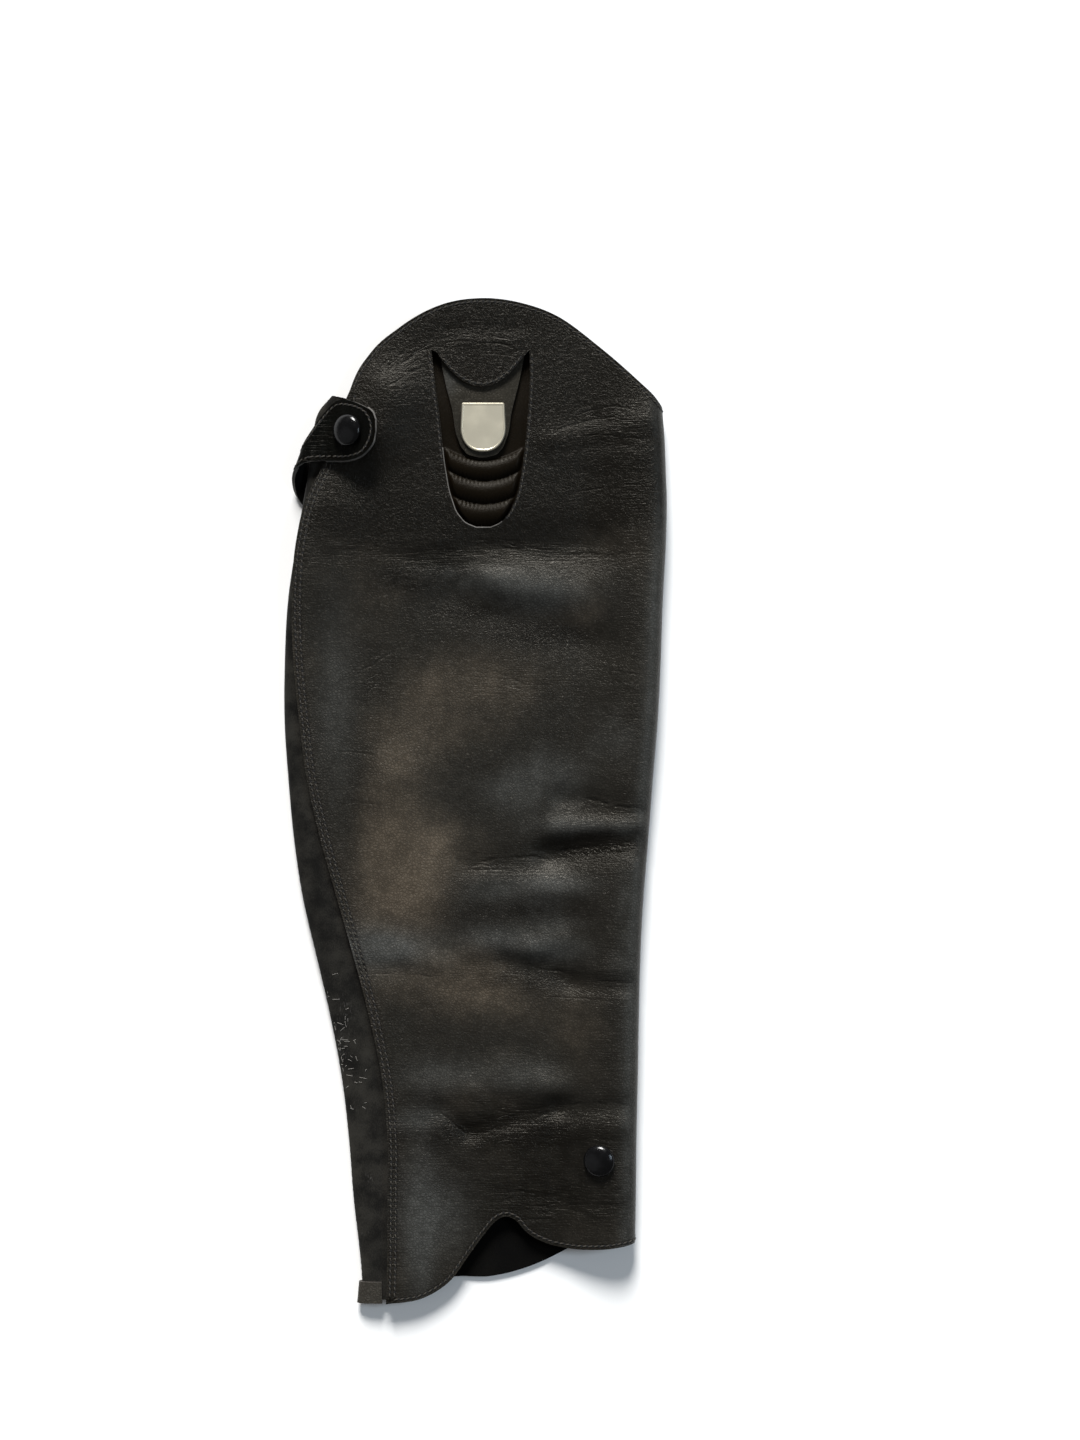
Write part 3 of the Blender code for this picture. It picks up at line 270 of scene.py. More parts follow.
# Thin creases in the leather's skin
CREASES = table(Crease, (
    (-70, 119.5, -34, 117, 1.2, 0.6, 0.3), (-30, 115.4, 8, 118.6, -1.6, 0.6, 0.35),
    (4, 120.6, 44, 117, 1.4, 0.6, 0.7), (38, 119, 76, 118.2, -1.6, 0.6, 0.6),
    (-48, 112.6, -12, 114, 1, 0.5, 0.4), (-14, 122.2, 26, 123.4, 1.2, 0.5, 0.4),
    (30, 112.4, 72, 115, 1.4, 0.5, 0.4), (-52, 197, -18, 216, 2, 0.7, 0.8),
    (-46, 191, -22, 207, 2.6, 0.6, 0.7), (-50, 203, -24, 219, 1, 0.6, 0.5),
    (-18, 219, 30, 220, 3.4, 0.7, 0.7), (-12, 214.5, 21, 214.5, 3, 0.6, 0.7),
    (34, 173, 82, 176, 6.6, 0.6, 0.6), (38, 167, 84, 168, 6, 0.6, 0.6), (42, 181, 80, 184, 4, 0.6, 0.5),
    (-60, 57, -36, 72.6, 0.8, 0.6, 0.5), (-56, 46, -42, 60, 0.8, 0.5, 0.5),
    (-12, 67, 30, 53, 1.6, 0.6, 0.45), (-6, 61, 26, 46, 1.2, 0.5, 0.5), (44, 1.6, 80, -5, 0.8, 0.8, 1),
    (34, -23, 78, -17, -1.6, 0.8, 1), (46, -28, 80, -22, 1, 0.6, 0.6), (-2, -29, 42, -28, 1.8, 0.8, 1),
    (-8, -33, 30, -34, 1.2, 0.5, 0.6), (-54, -82, -16, -84, 1.2, 0.6, 0.7), (14, -76, 50, -84, 1, 0.8, 1),
    (46, -88, 78, -86, 1.4, 0.7, 0.8), (30, -93, 70, -95, 0.8, 0.5, 0.5),
    (-18, -146, -2, -158.4, -1, 0.7, 0.9), (-2, -158.4, 40, -145.6, -1.8, 0.7, 0.9),
    (40, -145.6, 76, -144, 1.4, 0.7, 0.8), (-10, -140, 20, -148, -1, 0.5, 0.5),
    (8, -186, 46, -188, 1, 0.5, 0.6), (24, -193, 72, -191, 1.2, 0.5, 0.6),
    (14, -199.5, 40, -200, 1.6, 0.5, 0.5), (49, -166, 55, -179, 0, 0.6, 0.6),
    (50, -162, 68, -161, 2.2, 0.6, 0.6), (-66, 24, -44, 21, 0.8, 0.5, 0.4),
    (-62, 0, -46, -2, 0.6, 0.5, 0.4), (56, 40, 82, 38, 0.8, 0.5, 0.5), (52, 62, 84, 58, 1, 0.5, 0.5),
    (46, 146, 84, 150, 1.4, 0.5, 0.5),
))

# Where the leather is browner (above 0), or greyer and lighter (below 0); some of the grey patches are
# painted soft highlights on slopes that face the light
TONES = table(Patch, (
    (-33, -32, 27, 38, 1.8), (-20, 32, 36, 20, 0.6), (-10, -82, 32, 20, 0.4), (52, 92, 12, 10, 0.5),
    (0, -92, 42, 14, 0.5), (-66, 24, 12, 40, -0.5), (30, -50, 44, 26, -0.6), (-48, 196, 12, 16, 0.6),
    (36, 158, 12, 4, -0.8), (-4, 58, 46, 16, 0.55), (30, 10, 56, 32, -0.55), (-34, -76, 20, 8, 0.7),
    (54, -12, 22, 4.5, -0.8), (-8, 108, 34, 4.5, -0.7), (-56, 180, 10, 12, -0.4), (72, -60, 8, 90, -0.4),
))
# Where its skin is finely crinkled
CRINKLES = table(Patch, (
    (0, 117, 80, 6.5, 1), (-30, 186, 11, 22, 0.5), (3, 222, 30, 9, 0.5), (-36, 205, 16, 12, 0.4),
    (60, 176, 26, 9, 0.7), (20, 56, 34, 9, 0.6), (58, -14, 24, 14, 0.6), (16, -30, 30, 7, 0.7),
    (30, -80, 46, 9, 0.6), (10, -150, 40, 9, 0.7), (40, -190, 34, 10, 0.7), (59, -170, 15, 15, 0.5),
    (10, -170, 80, 56, 0.3), (-50, 55, 16, 14, 0.4),
))
# Painted highlights: where the colour is made greyer and lighter to stand in for sheen on slopes that face
# the light; these places are also polished (less rough)
PAINTED_SHEEN = table(Patch, (
    (-46, -70, 26, 10, 1.3), (-18, -196, 15, 17, 0.8), (37.7, -39.3, 16, 5, 0.9),
    (13.3, -64.8, 18, 6, 0.7), (37, -70, 14, 6, 0.9), (10, -42, 15, 6, 0.5), (-14.4, -130.2, 20, 8, 0.5),
    (22.2, -130.2, 17, 7, 0.4), (-26.6, -151.3, 12, 5, 0.7), (-26.6, -202, 7, 36, 0.9),
    (6, 106, 22, 6, 0.8), (34, 99, 20, 8, 1), (36, 160, 14, 5, 0.7), (-66, 50, 9, 40, 0.5),
    (62, 166, 20, 4, 0.2),
))
# Where it is blacker: partly darker leather, partly painted shade in troughs and on slopes turned away from
# the key light
DARKER_AND_PAINTED_SHADE = table(Patch, (
    (10, 212, 84, 42, 1.6), (0, 152, 90, 26, 2.2), (34, -186, 40, 22, 0.8), (26, -156, 40, 12, 0.8),
    (-2, 90, 20, 5, 0.7), (34, 79, 24, 6, 0.9), (-62, 150, 18, 18, 0.7), (-24, 128, 34, 10, 0.5),
    (58, -22, 24, 6, 1.2), (-26, 106, 24, 8, 0.7), (30, -52, 28, 5, 0.6), (28, -84, 30, 6, 0.6),
    (0, -156, 24, 6, 0.5),
))
# Where it is worn smooth
WEAR = table(Patch, (
    (20, 102, 40, 7, 0.8), (-30, -16, 22, 36, 0.5), (50, -10, 24, 6, 0.25), (50, -160, 20, 14, 0.5),
    (-64, 120, 8, 40, 0.4),
))
# Where the suede is scuffed
SCUFFS = table(Patch, (
    (-67, -118, 5, 10, 0.9), (-62, -100, 4, 8, 0.5), (-50.6, -179, 1.6, 2, 1), (-52.4, -206, 1.4, 2, 0.8),
))


# Plain sums


def unit(vectors: Array) -> Array:
    """Makes vectors one long."""
    return vectors / np.maximum(np.linalg.norm(vectors, axis=-1, keepdims=True), 1e-9)


def run_along(path: Array) -> Array:
    """Gives how far along a path each of its points lies."""
    return np.concatenate([[0], np.cumsum(np.linalg.norm(np.diff(path, axis=0), axis=1))])


def read_at(places: Array, along: Array, vectors: Array) -> Array:
    """Gives a path's points or normals at some places along it."""
    return np.stack([np.interp(places, along, vectors[:, k]) for k in range(3)], axis=1)


def smooth_curve(knots: Sequence[float], values: Sequence[float]) -> Curve:
    """Makes a cubic through some knots, level beyond its ends.

    Args:
        knots: Where the values are given.
        values: The value at each knot.

    Returns:
        A function of an array of places.
    """
    order = np.argsort(knots)
    at_knots = np.asarray(knots, float)[order]
    heights = np.asarray(values, float)[order]
    slopes = np.gradient(heights, at_knots)
    slopes[0] = (heights[1] - heights[0]) / (at_knots[1] - at_knots[0])
    slopes[-1] = (heights[-1] - heights[-2]) / (at_knots[-1] - at_knots[-2])

    def at(place: Array) -> Array:
        """Gives the curve's value at each place.

        Args:
            place: Where the values are wanted.

        Returns:
            The values.
        """
        held = np.clip(np.asarray(place, float), at_knots[0], at_knots[-1])
        k = np.minimum(np.searchsorted(at_knots, held, side="right") - 1, len(at_knots) - 2)
        step = at_knots[k + 1] - at_knots[k]
        t = (held - at_knots[k]) / step
        rise = heights[k + 1] - heights[k]
        start = slopes[k] * step
        end = slopes[k + 1] * step
        bend = 3 * rise - 2 * start - end + t * (start + end - 2 * rise)
        return heights[k] + t * (start + t * bend)

    return at


def column(rows: Sequence[NamedTuple], name: str, by: str = "y") -> Curve:
    """Makes one column of a table a smooth function of another."""
    return smooth_curve([getattr(row, by) for row in rows], [getattr(row, name) for row in rows])


def smoothstep(t: Array) -> Array:
    """Eases from 0 to 1."""
    held = np.clip(t, 0.0, 1.0)
    return held * held * (3 - 2 * held)


def bell(value: Array, middle: float, width: float) -> Array:
    """Gives a bell curve about a middle, 1 at its top."""
    return np.exp(-(((value - middle) / width) ** 2))


def lerp(a: Array, b: Array, t: Array) -> Array:
    """Gives the value a share t of the way from a to b."""
    return a + (b - a) * t


def relief(folds: Sequence[Fold], x: Array, y: Array) -> Array:
    """Gives the height that a table of folds adds at each place.

    Args:
        folds: Ridges and troughs.
        x: Places across the leg.
        y: Places along the leg.

    Returns:
        The heights.
    """
    total = np.zeros(np.broadcast(x, y).shape)
    for fold in folds:
        run_x = fold.x1 - fold.x0
        run_y = fold.y1 - fold.y0
        along = ((x - fold.x0) * run_x + (y - fold.y0) * run_y) / (run_x ** 2 + run_y ** 2)
        along = np.clip(along, 0.0, 1.0)
        off = np.hypot(x - fold.x0 - along * run_x, y - fold.y0 - along * run_y)
        total = total + fold.height * bell(off, 0, fold.width)
    return total


def patches(spots: Sequence[Patch], x: Array, y: Array) -> Array:
    """Gives the sum of a table of soft round patches at each place.

    Args:
        spots: The patches.
        x: Places across the leg.
        y: Places along the leg.

    Returns:
        The strength at each place.
    """
    total = np.zeros(np.broadcast(x, y).shape)
    for spot in spots:
        total = total + spot.strength * bell(x, spot.x, spot.half_x) * bell(y, spot.y, spot.half_y)
    return total


def normals_of(surface: Surface, u: Array, v: Array, step: float = 0.02) -> Array:
    """Gives a surface's unit normals.

    Args:
        surface: A function from two parameters to points.
        u: First parameter.
        v: Second parameter.
        step: How far apart the two samples of each slope lie.

    Returns:
        One unit vector for each pair.
    """
    run_u = surface(u + step, v) - surface(u - step, v)
    run_v = surface(u, v + step) - surface(u, v - step)
    return unit(np.cross(run_u, run_v))


@dataclass
class LegForm:
    """The half chap's form: its walls, gaps, sections and edges, in mm."""

    leather: float = 1.8
    suede: float = 1.2
    tape: float = 1.0
    strap: float = 1.6
    end_tab: float = 1.2
    pad: float = 1.2
    tongue: float = 1.4
    lining: float = 1.0
    seam_gap: float = 0.3
    lining_gap: float = 0.6
    shin_fold_depth: float = 7.0
    shin_rise: float = 34.0
    seam_rise: float = 24.0
    lift_strap: float = 1.95
    lift_slider: float = 1.95
    lift_inner_x: float = -42.0
    lift_outer_x: float = -16.0
    lift_full_y: float = 106.0
    lift_zero_y: float = 52.0
    slider_y: float = 134.0
    slider_reach: float = 24.0
    slider_flat: float = 0.4
    slider_long: float = 0.8
    pull_length: float = 21.0
    leather_zip_edge: float = 5.5
    gusset_zip_edge: float = 5.0
    gusset_lap: float = 8.0
    gusset_gap: float = 0.85
    gusset_raised_plain: float = 0.6
    gusset_raised_at_tab: float = 1.5
    gusset_decline: float = 0.06
    gusset_fold_depth: float = 3.0
    end_tab_top: float = -228.8
    tab_ease: float = 6.8
    smile_x: float = 3.0
    smile_y: float = 197.1
    smile_rise: float = 14.5
    smile_reach: float = 20.0
    tongue_rise: float = 1.7
    tongue_rise_from: float = 209.0
    tongue_rise_over: float = 30.0
    edge_guesses: tuple[float, float] = (188.0, -215.0)
    edge_rounds: int = 14
    edge_step: float = 0.7
    small_folds: bool = True

    def __post_init__(self) -> None:
        """Makes the curves from the tables."""
        self.back_fold = column(STATIONS, "back_fold")
        self.calf_seam = column(STATIONS, "calf_seam")
        self.shin = column(STATIONS, "shin")
        self.seam_height = column(STATIONS, "seam_height")
        self.plateau = column(STATIONS, "plateau")
        self.shin_height = column(STATIONS, "shin_height")
        self.zip_in = column(STATIONS, "zip_in")
        self.outer_top = column(OUTER_TOP, "y", by="x")
        self.inner_top = column(INNER_TOP, "y", by="x")
        self.outer_hem = column(OUTER_HEM, "y", by="x")
        self.inner_hem = column(INNER_HEM, "y", by="x")
        self.hole_left = column(HOLE_SIDES, "left")
        self.hole_right = column(HOLE_SIDES, "right")
        self.tongue_half = column(TONGUE_ROWS, "half_width")
        self.gusset_top = column(GUSSET_TOP, "y", by="g")
        rows = range(len(STRAP_ROWS))
        names = StrapRow._fields
        self.strap_lines = [smooth_curve(rows, [getattr(r, n) for r in STRAP_ROWS]) for n in names]

    def zip_line(self, y: Array) -> Array:
        """Gives the x of the zip's teeth."""
        return self.back_fold(y) + self.zip_in(y)

    def fold_start(self, y: Array) -> Array:
        """Gives the x where the upper face turns into the shin fold."""
        return self.shin(y) - self.shin_fold_depth

    def face_height(self, x: Array, y: Array) -> Array:
        """Gives the height of the leather's upper face.

        Args:
            x: Places across the leg.
            y: Places along the leg.

        Returns:
            The heights, with the large folds and, where they are wanted, the small ones.
        """
        shin_share = 1 - smoothstep((self.fold_start(y) - x) / self.shin_rise)
        seam_share = 1 - smoothstep((x - self.calf_seam(y)) / self.seam_rise)
        level = self.plateau(y)
        base = level + (self.shin_height(y) - level) * shin_share
        base = base + (self.seam_height(y) - level) * seam_share + relief(LARGE_FOLDS, x, y)
        return base + relief(SMALL_FOLDS, x, y) if self.small_folds else base

    def lift(self, x: Array, y: Array) -> Array:
        """Gives how far the underside is raised off the floor.

        Args:
            x: Places across the leg.
            y: Places along the leg.

        Returns:
            The heights.
        """
        reach = self.lift_outer_x - self.lift_inner_x
        across = 1 - smoothstep((x - self.lift_inner_x) / reach)
        along = 1 - smoothstep((self.lift_full_y - y) / (self.lift_full_y - self.lift_zero_y))
        middle = self.slider_y - self.pull_length / 2
        off = np.hypot(x - self.zip_line(self.slider_y), (y - middle) * self.slider_long)
        near = 1 - smoothstep(off / self.slider_reach - self.slider_flat)
        return across * along * (self.lift_strap + self.lift_slider * near)

    def body_x(self, s: Array, y: Array) -> Array:
        """Gives the x of a section's point.

        Args:
            s: 0 to 1 over the face, 2 round the shin, 3 under.
            y: Places along the leg.

        Returns:
            The places across the leg.
        """
        face = lerp(self.calf_seam(y), self.fold_start(y), s)
        turn = (np.clip(s, 1, 2) - 1) * np.pi
        fold = self.fold_start(y) + self.shin_fold_depth * np.sin(turn)
        under = lerp(self.fold_start(y), self.zip_line(y) + self.leather_zip_edge, s - 2)
        return np.where(s <= 1, face, np.where(s <= 2, fold, under))

    def body(self, s: Array, y: Array) -> Array:
        """Gives points of the leather's outer side.

        Args:
            s: 0 to 1 over the face, 2 round the shin, 3 under.
            y: Places along the leg.

        Returns:
            The points.
        """
        s, y = np.broadcast_arrays(np.asarray(s, float), np.asarray(y, float))
        x = self.body_x(s, y)
        radius = self.face_height(self.fold_start(y), y) / 2
        fold = radius + radius * np.cos((np.clip(s, 1, 2) - 1) * np.pi)
        under = np.where(s <= 2, fold, self.lift(x, y))
        return np.stack([x, y, np.where(s <= 1, self.face_height(x, y), under)], axis=-1)

    def face(self, x: Array, y: Array) -> Array:
        """Gives points of the upper face by their place seen from above."""
        x, y = np.broadcast_arrays(np.asarray(x, float), np.asarray(y, float))
        return np.stack([x, y, self.face_height(x, y)], axis=-1)

    def below_face(self, x: Array, y: Array, depth: Array) -> Array:
        """Gives points set in from the upper face along its normal.

        Args:
            x: Places across the leg.
            y: Places along the leg.
            depth: How far in each lies.

        Returns:
            The points.
        """
        x, y, depth = np.broadcast_arrays(*(np.asarray(a, float) for a in (x, y, depth)))
        normal = normals_of(self.face, x, y, 0.5)
        return self.face(x, y) - normal * depth[..., None]

    def cut_edge(self, s: Array, top: bool) -> Array:
        """Gives the y where each column of the section meets its cut edge.

        Args:
            s: Places round the section.
            top: Whether the top edge is wanted, and not the hem.

        Returns:
            The y of the edge at each column.
        """
        outer, inner = (self.outer_top, self.inner_top) if top else (self.outer_hem, self.inner_hem)
        y = np.full(np.shape(s), self.edge_guesses[0 if top else 1])
        for _ in range(self.edge_rounds):
            x = self.body_x(s, y)
            y = lerp(y, np.where(s <= 1.5, outer(x), inner(x)), self.edge_step)
        return y

    def gusset_raised(self, y: Array) -> Array:
        """Gives how far the strip's lower run lies above the underside."""
        share = smoothstep((self.end_tab_top + self.tab_ease - y) / self.tab_ease)
        return lerp(self.gusset_raised_plain, self.gusset_raised_at_tab, share)

    def gusset(self, g: Array, y: Array) -> Array:
        """Gives points of the suede strip's outer side.

        Args:
            g: 0 to 1 on top, 2 round the calf fold, 3 under.
            y: Places along the leg.

        Returns:
            The points.
        """
        g, y = np.broadcast_arrays(np.asarray(g, float), np.asarray(y, float))
        low = self.lift(self.back_fold(y), y) + self.gusset_raised(y)
        start = self.back_fold(y) + self.gusset_fold_depth
        seam = self.calf_seam(y)
        under_face = self.leather + self.gusset_gap
        decline = self.gusset_decline * np.maximum(seam - start, 0)
        fold_top = self.face_height(np.maximum(seam, start), y) - under_face - decline
        x_top = lerp(seam + self.gusset_lap, start, np.clip(g, 0, 1))
        edge = self.face_height(seam, y) - under_face
        share = smoothstep((seam - x_top) / np.maximum(seam - start, 0.01))
        covered = self.face_height(x_top, y) - under_face
        z_top = np.where(x_top >= seam, covered, lerp(edge, fold_top, share))
        turn = (np.clip(g, 1, 2) - 1) * np.pi
        radius = (fold_top - low) / 2
        x_turn = start - self.gusset_fold_depth * np.sin(turn)
        z_turn = low + radius + radius * np.cos(turn)
        x_low = lerp(start, self.zip_line(y) - self.gusset_zip_edge, np.clip(g, 2, 3) - 2)
        z_low = self.lift(x_low, y) + self.gusset_raised(y)
        x = np.where(g <= 1, x_top, np.where(g <= 2, x_turn, x_low))
        z = np.where(g <= 1, z_top, np.where(g <= 2, z_turn, z_low))
        return np.stack([x, y, z], axis=-1)

    def strap_face(self, row: Array, share: Array) -> Array:
        """Gives points of the strap's outer side.

        Args:
            row: Places along the strap, from its snapped end.
            share: 0 at the upper edge to 1 at the lower edge.

        Returns:
            The points, never below the floor.
        """
        row, share = np.broadcast_arrays(np.asarray(row, float), np.asarray(share, float))
        lines = [line(row) for line in self.strap_lines]
        upper = np.stack(lines[:3], axis=-1)
        lower = np.stack(lines[3:], axis=-1)
        points = lerp(upper, lower, share[..., None])
        points[..., 2] = np.maximum(points[..., 2], 0.0)
        return points

    def smile(self, x: Array) -> Array:
        """Gives the y of the curved edge above the badge."""
        return self.smile_y + self.smile_rise * ((x - self.smile_x) / self.smile_reach) ** 2

    def tongue_depth(self, y: Array) -> Array:
        """Gives how far the tongue lies below the leather's face."""
        share = smoothstep((self.tongue_rise_from - y) / self.tongue_rise_over)
        return self.leather + self.lining_gap - self.tongue_rise * share


# Meshes


def add_piece(name: str, mesh: bpy.types.Mesh) -> Piece:
    """Puts a mesh in the scene.

    Args:
        name: The piece's name.
        mesh: Its mesh.

    Returns:
        The new piece.
    """
    piece = bpy.data.objects.new(name, mesh)
    bpy.context.scene.collection.objects.link(piece)
    return piece


def mesh_piece(name: str, points: Array, faces: Array | list[list[int]], crisp: float = 0.0) -> Piece:
    """Builds a smooth mesh.

    Args:
        name: The piece's name.
        points: Points in mm, one to a row.
        faces: Corner numbers, one face to a row.
        crisp: The angle from which an edge is sharp, in degrees, or 0 for none.

    Returns:
        The new piece.
    """
    mesh = bpy.data.meshes.new(name)
    plain = faces.tolist() if isinstance(faces, np.ndarray) else faces
    mesh.from_pydata((np.asarray(points) * MM).tolist(), [], plain)
    mesh.shade_smooth()
    if crisp:
        mesh.set_sharp_from_angle(angle=math.radians(crisp))
    return add_piece(name, mesh)


def ring_faces(rings: int, sides: int) -> list[list[int]]:
    """Joins closed rings of points by four-cornered faces.

    Args:
        rings: How many rings there are.
        sides: How many points each has.

    Returns:
        The corners of each face.
    """
    pairs = [(k * sides + j, k * sides + (j + 1) % sides) for k in range(rings - 1) for j in range(sides)]
    return [[a, b, b + sides, a + sides] for a, b in pairs]


def dress(piece: Piece, *materials: Material) -> None:
    """Gives a piece its materials, in order."""
    for material in materials:
        piece.data.materials.append(material)


def sheet_piece(
    name: str, points: Array, wall: float, finishes: Sequence[Material], flip: bool = False, side: int = -1
) -> Piece:
    """Builds a sheet from a grid of points.

    Args:
        name: The piece's name.
        points: Points of its face in mm, as rows by columns by 3.
        wall: The wall in mm.
        finishes: One finish, or the face's, the back's and the cut edge's.
        flip: Whether the faces are turned over.
        side: -1 to thicken against the normal, 1 along it.

    Returns:
        The new piece.
    """
    rows, columns = points.shape[:2]
    index = np.arange(rows * columns).reshape(rows, columns)
    quads = [index[:-1, :-1], index[:-1, 1:], index[1:, 1:], index[1:, :-1]]
    if flip:
        quads.reverse()
    piece = mesh_piece(name, points.reshape(-1, 3), np.stack([corner.ravel() for corner in quads], axis=-1))
    dress(piece, *finishes)
    solidify = piece.modifiers.new("wall", "SOLIDIFY")
    solidify.thickness = wall * MM
    solidify.offset = side
    solidify.use_even_offset = True
    if len(finishes) > 2:
        solidify.material_offset = 1
        solidify.material_offset_rim = 2
    settle(piece)
    return piece


def settle(piece: Piece) -> None:
    """Applies a piece's modifiers and keeps its sharp edges crisp.

    Args:
        piece: The piece.
    """
    bpy.context.view_layer.update()
    graph = bpy.context.evaluated_depsgraph_get()
    mesh = bpy.data.meshes.new_from_object(piece.evaluated_get(graph))
    old = piece.data
    piece.modifiers.clear()
    piece.data = mesh
    bpy.data.meshes.remove(old)
    mesh.set_sharp_from_angle(angle=math.radians(42))


def store(piece: Piece, name: str, values: Array) -> None:
    """Stores a number for each vertex, for the shaders to read."""
    attribute = piece.data.attributes.new(name, "FLOAT", "POINT")
    attribute.data.foreach_set("value", np.asarray(values, np.float32).ravel())


def points_of(piece: Piece) -> Array:
    """Gives a mesh's points in mm.

    Args:
        piece: The piece.

    Returns:
        The points, one to a row.
    """
    flat = np.empty(len(piece.data.vertices) * 3)
    piece.data.vertices.foreach_get("co", flat)
    return flat.reshape(-1, 3) / MM


def turned_piece(name: str, profile: Sequence[tuple[float, float]], steps: int = 64) -> Piece:
    """Builds a solid of revolution about Z.

    Args:
        name: The piece's name.
        profile: (radius, height) pairs in mm, from the top's middle to the bottom's middle.
        steps: How many sides it has.

    Returns:
        The new piece, about the origin.
    """
    angles = np.arange(steps) / steps * 2 * np.pi
    wide, high = (values[:, None] for values in np.array(profile[1:-1]).T)
    rings = [wide * np.cos(angles), wide * np.sin(angles), high * np.ones(steps)]
    ends = [[0, 0, profile[0][1]], [0, 0, profile[-1][1]]]
    points = np.vstack([np.stack(rings, axis=-1).reshape(-1, 3), *ends])
    faces = [face[::-1] for face in ring_faces(len(wide), steps)]
    count = len(wide) * steps
    last = count - steps
    for j in range(steps):
        after = (j + 1) % steps
        faces += [[count, j, after], [count + 1, last + after, last + j]]
    return mesh_piece(name, points, faces, crisp=50)


def tube_piece(name: str, path: Array, radius: float, sides: int = 6) -> Piece:
    """Builds a closed tube along a path.

    Args:
        name: The piece's name.
        path: Points in mm.
        radius: The tube's radius in mm.
        sides: How many sides it has.

    Returns:
        The new piece.
    """
    run = unit(np.gradient(path, axis=0))
    up = unit(np.cross(run, np.cross(np.array([0.0, 0.0, 1.0]), run) + 1e-6))
    across = np.cross(up, run)
    angles = (np.arange(sides) / sides * 2 * np.pi)[None, :, None]
    rings = path[:, None] + radius * (np.cos(angles) * across[:, None] + np.sin(angles) * up[:, None])
    last = (len(path) - 1) * sides
    caps = [list(range(sides))[::-1], list(range(last, last + sides))]
    return mesh_piece(name, rings.reshape(-1, 3), ring_faces(len(path), sides) + caps)


def frame_at(origin: Array, normal: Array, along: Array) -> Matrix:
    """Makes a placing matrix in metres.

    Args:
        origin: The place in mm.
        normal: The direction that Z takes.
        along: The direction that X takes, as nearly as it can.

    Returns:
        The matrix.
    """
    up = Vector(normal).normalized()
    first = Vector(along)
    first = (first - up * first.dot(up)).normalized()
    matrix = Matrix((first, up.cross(first), up)).transposed().to_4x4()
    matrix.translation = Vector(origin) * MM
    return matrix


def lay_down(piece: Piece, matrix: Matrix) -> None:
    """Moves a mesh's own points by a matrix, so its object stays at the origin."""
    piece.data.transform(matrix)
    piece.data.update()


# Finishes


class Nodes:
    """Makes nodes in one tree, with short names for the kinds that this part uses."""

    def __init__(self, tree: bpy.types.NodeTree) -> None:
        """Keeps the tree to build in."""
        self.tree = tree

    def add(self, kind: str, inputs: dict | None = None, **settings: object) -> Node:
        """Adds a node.

        Args:
            kind: The node's type.
            inputs: A value or a socket for each input, by name or number.
            **settings: The node's own settings.

        Returns:
            The new node.
        """
        node = self.tree.nodes.new(kind)
        for key, value in settings.items():
            setattr(node, key, value)
        for key, value in (inputs or {}).items():
            self.feed(node.inputs[key], value)
        return node

    def feed(self, socket: Socket, value: object) -> None:
        """Links a socket to an input, or sets a plain value on it.

        Args:
            socket: The input.
            value: The value or the socket that feeds it.
        """
        if isinstance(value, Socket):
            self.tree.links.new(value, socket)
        else:
            socket.default_value = value

    def maths(self, operation: str, first: object, second: object = 0.0) -> Socket:
        """Adds one step of arithmetic."""
        return self.add("ShaderNodeMath", {0: first, 1: second}, operation=operation).outputs[0]

    def times(self, first: object, second: object) -> Socket:
        """Adds a product."""
        return self.maths("MULTIPLY", first, second)

    def plus(self, first: object, second: object) -> Socket:
        """Adds a sum."""
        return self.maths("ADD", first, second)

    def minus(self, first: object, second: object) -> Socket:
        """Adds a difference."""
        return self.maths("SUBTRACT", first, second)

    def mix(self, share: object, first: object, second: object) -> Socket:
        """Adds a mix of two colours."""
        node = self.add("ShaderNodeMix", {0: share, 6: first, 7: second}, data_type="RGBA")
        return node.outputs[2]

    def between(self, value: object, low: float, high: float) -> Socket:
        """Adds an ease from 0 at one value to 1 at another."""
        inputs = {"Value": value, "From Min": low, "From Max": high}
        return self.add("ShaderNodeMapRange", inputs, interpolation_type="SMOOTHSTEP").outputs["Result"]

    def ramp(self, value: object, low: object, high: object) -> Socket:
        """Adds a straight run from one number to another as a share goes from 0 to 1."""
        inputs = {"Value": value, "To Min": low, "To Max": high}
        return self.add("ShaderNodeMapRange", inputs).outputs["Result"]

    def noise(self, vector: object, scale: object, detail: float = 2.0) -> Socket:
        """Adds a soft noise."""
        inputs = {"Vector": vector, "Scale": scale, "Detail": detail}
        return self.add("ShaderNodeTexNoise", inputs).outputs[0]

    def scaled(self, vector: object, x: float, y: float, z: float) -> Socket:
        """Adds a vector's stretch along each axis."""
        inputs = {0: vector, 1: (x, y, z)}
        return self.add("ShaderNodeVectorMath", inputs, operation="MULTIPLY").outputs[0]

    def stored(self, name: str) -> Socket:
        """Adds the reading of a stored number."""
        return self.add("ShaderNodeAttribute", attribute_name=name).outputs["Fac"]

    def place(self) -> Socket:
        """Adds the reading of the place on the piece."""
        return self.add("ShaderNodeTexCoord").outputs["Object"]

    def sized(self, vector: object, size: object) -> Socket:
        """Adds a place counted in sizes of so many mm."""
        inputs = {0: vector, 3: self.maths("DIVIDE", 1000.0, size)}
        return self.add("ShaderNodeVectorMath", inputs, operation="SCALE").outputs[0]

    def bell(self, value: object, middle: object, width: float) -> Socket:
        """Adds a bell curve about a middle, 1 at its top."""
        off = self.maths("DIVIDE", self.minus(value, middle), width)
        return self.maths("EXPONENT", self.times(self.times(off, off), -1.0))

    def bump(self, shader: Node, height: object, distance: float) -> None:
        """Adds a relief of some metres to a shader."""
        relief = self.add("ShaderNodeBump", {"Height": height, "Distance": distance})
        self.feed(shader.inputs["Normal"], relief.outputs[0])


Maker = Callable[[Nodes, Sockets], Sockets]


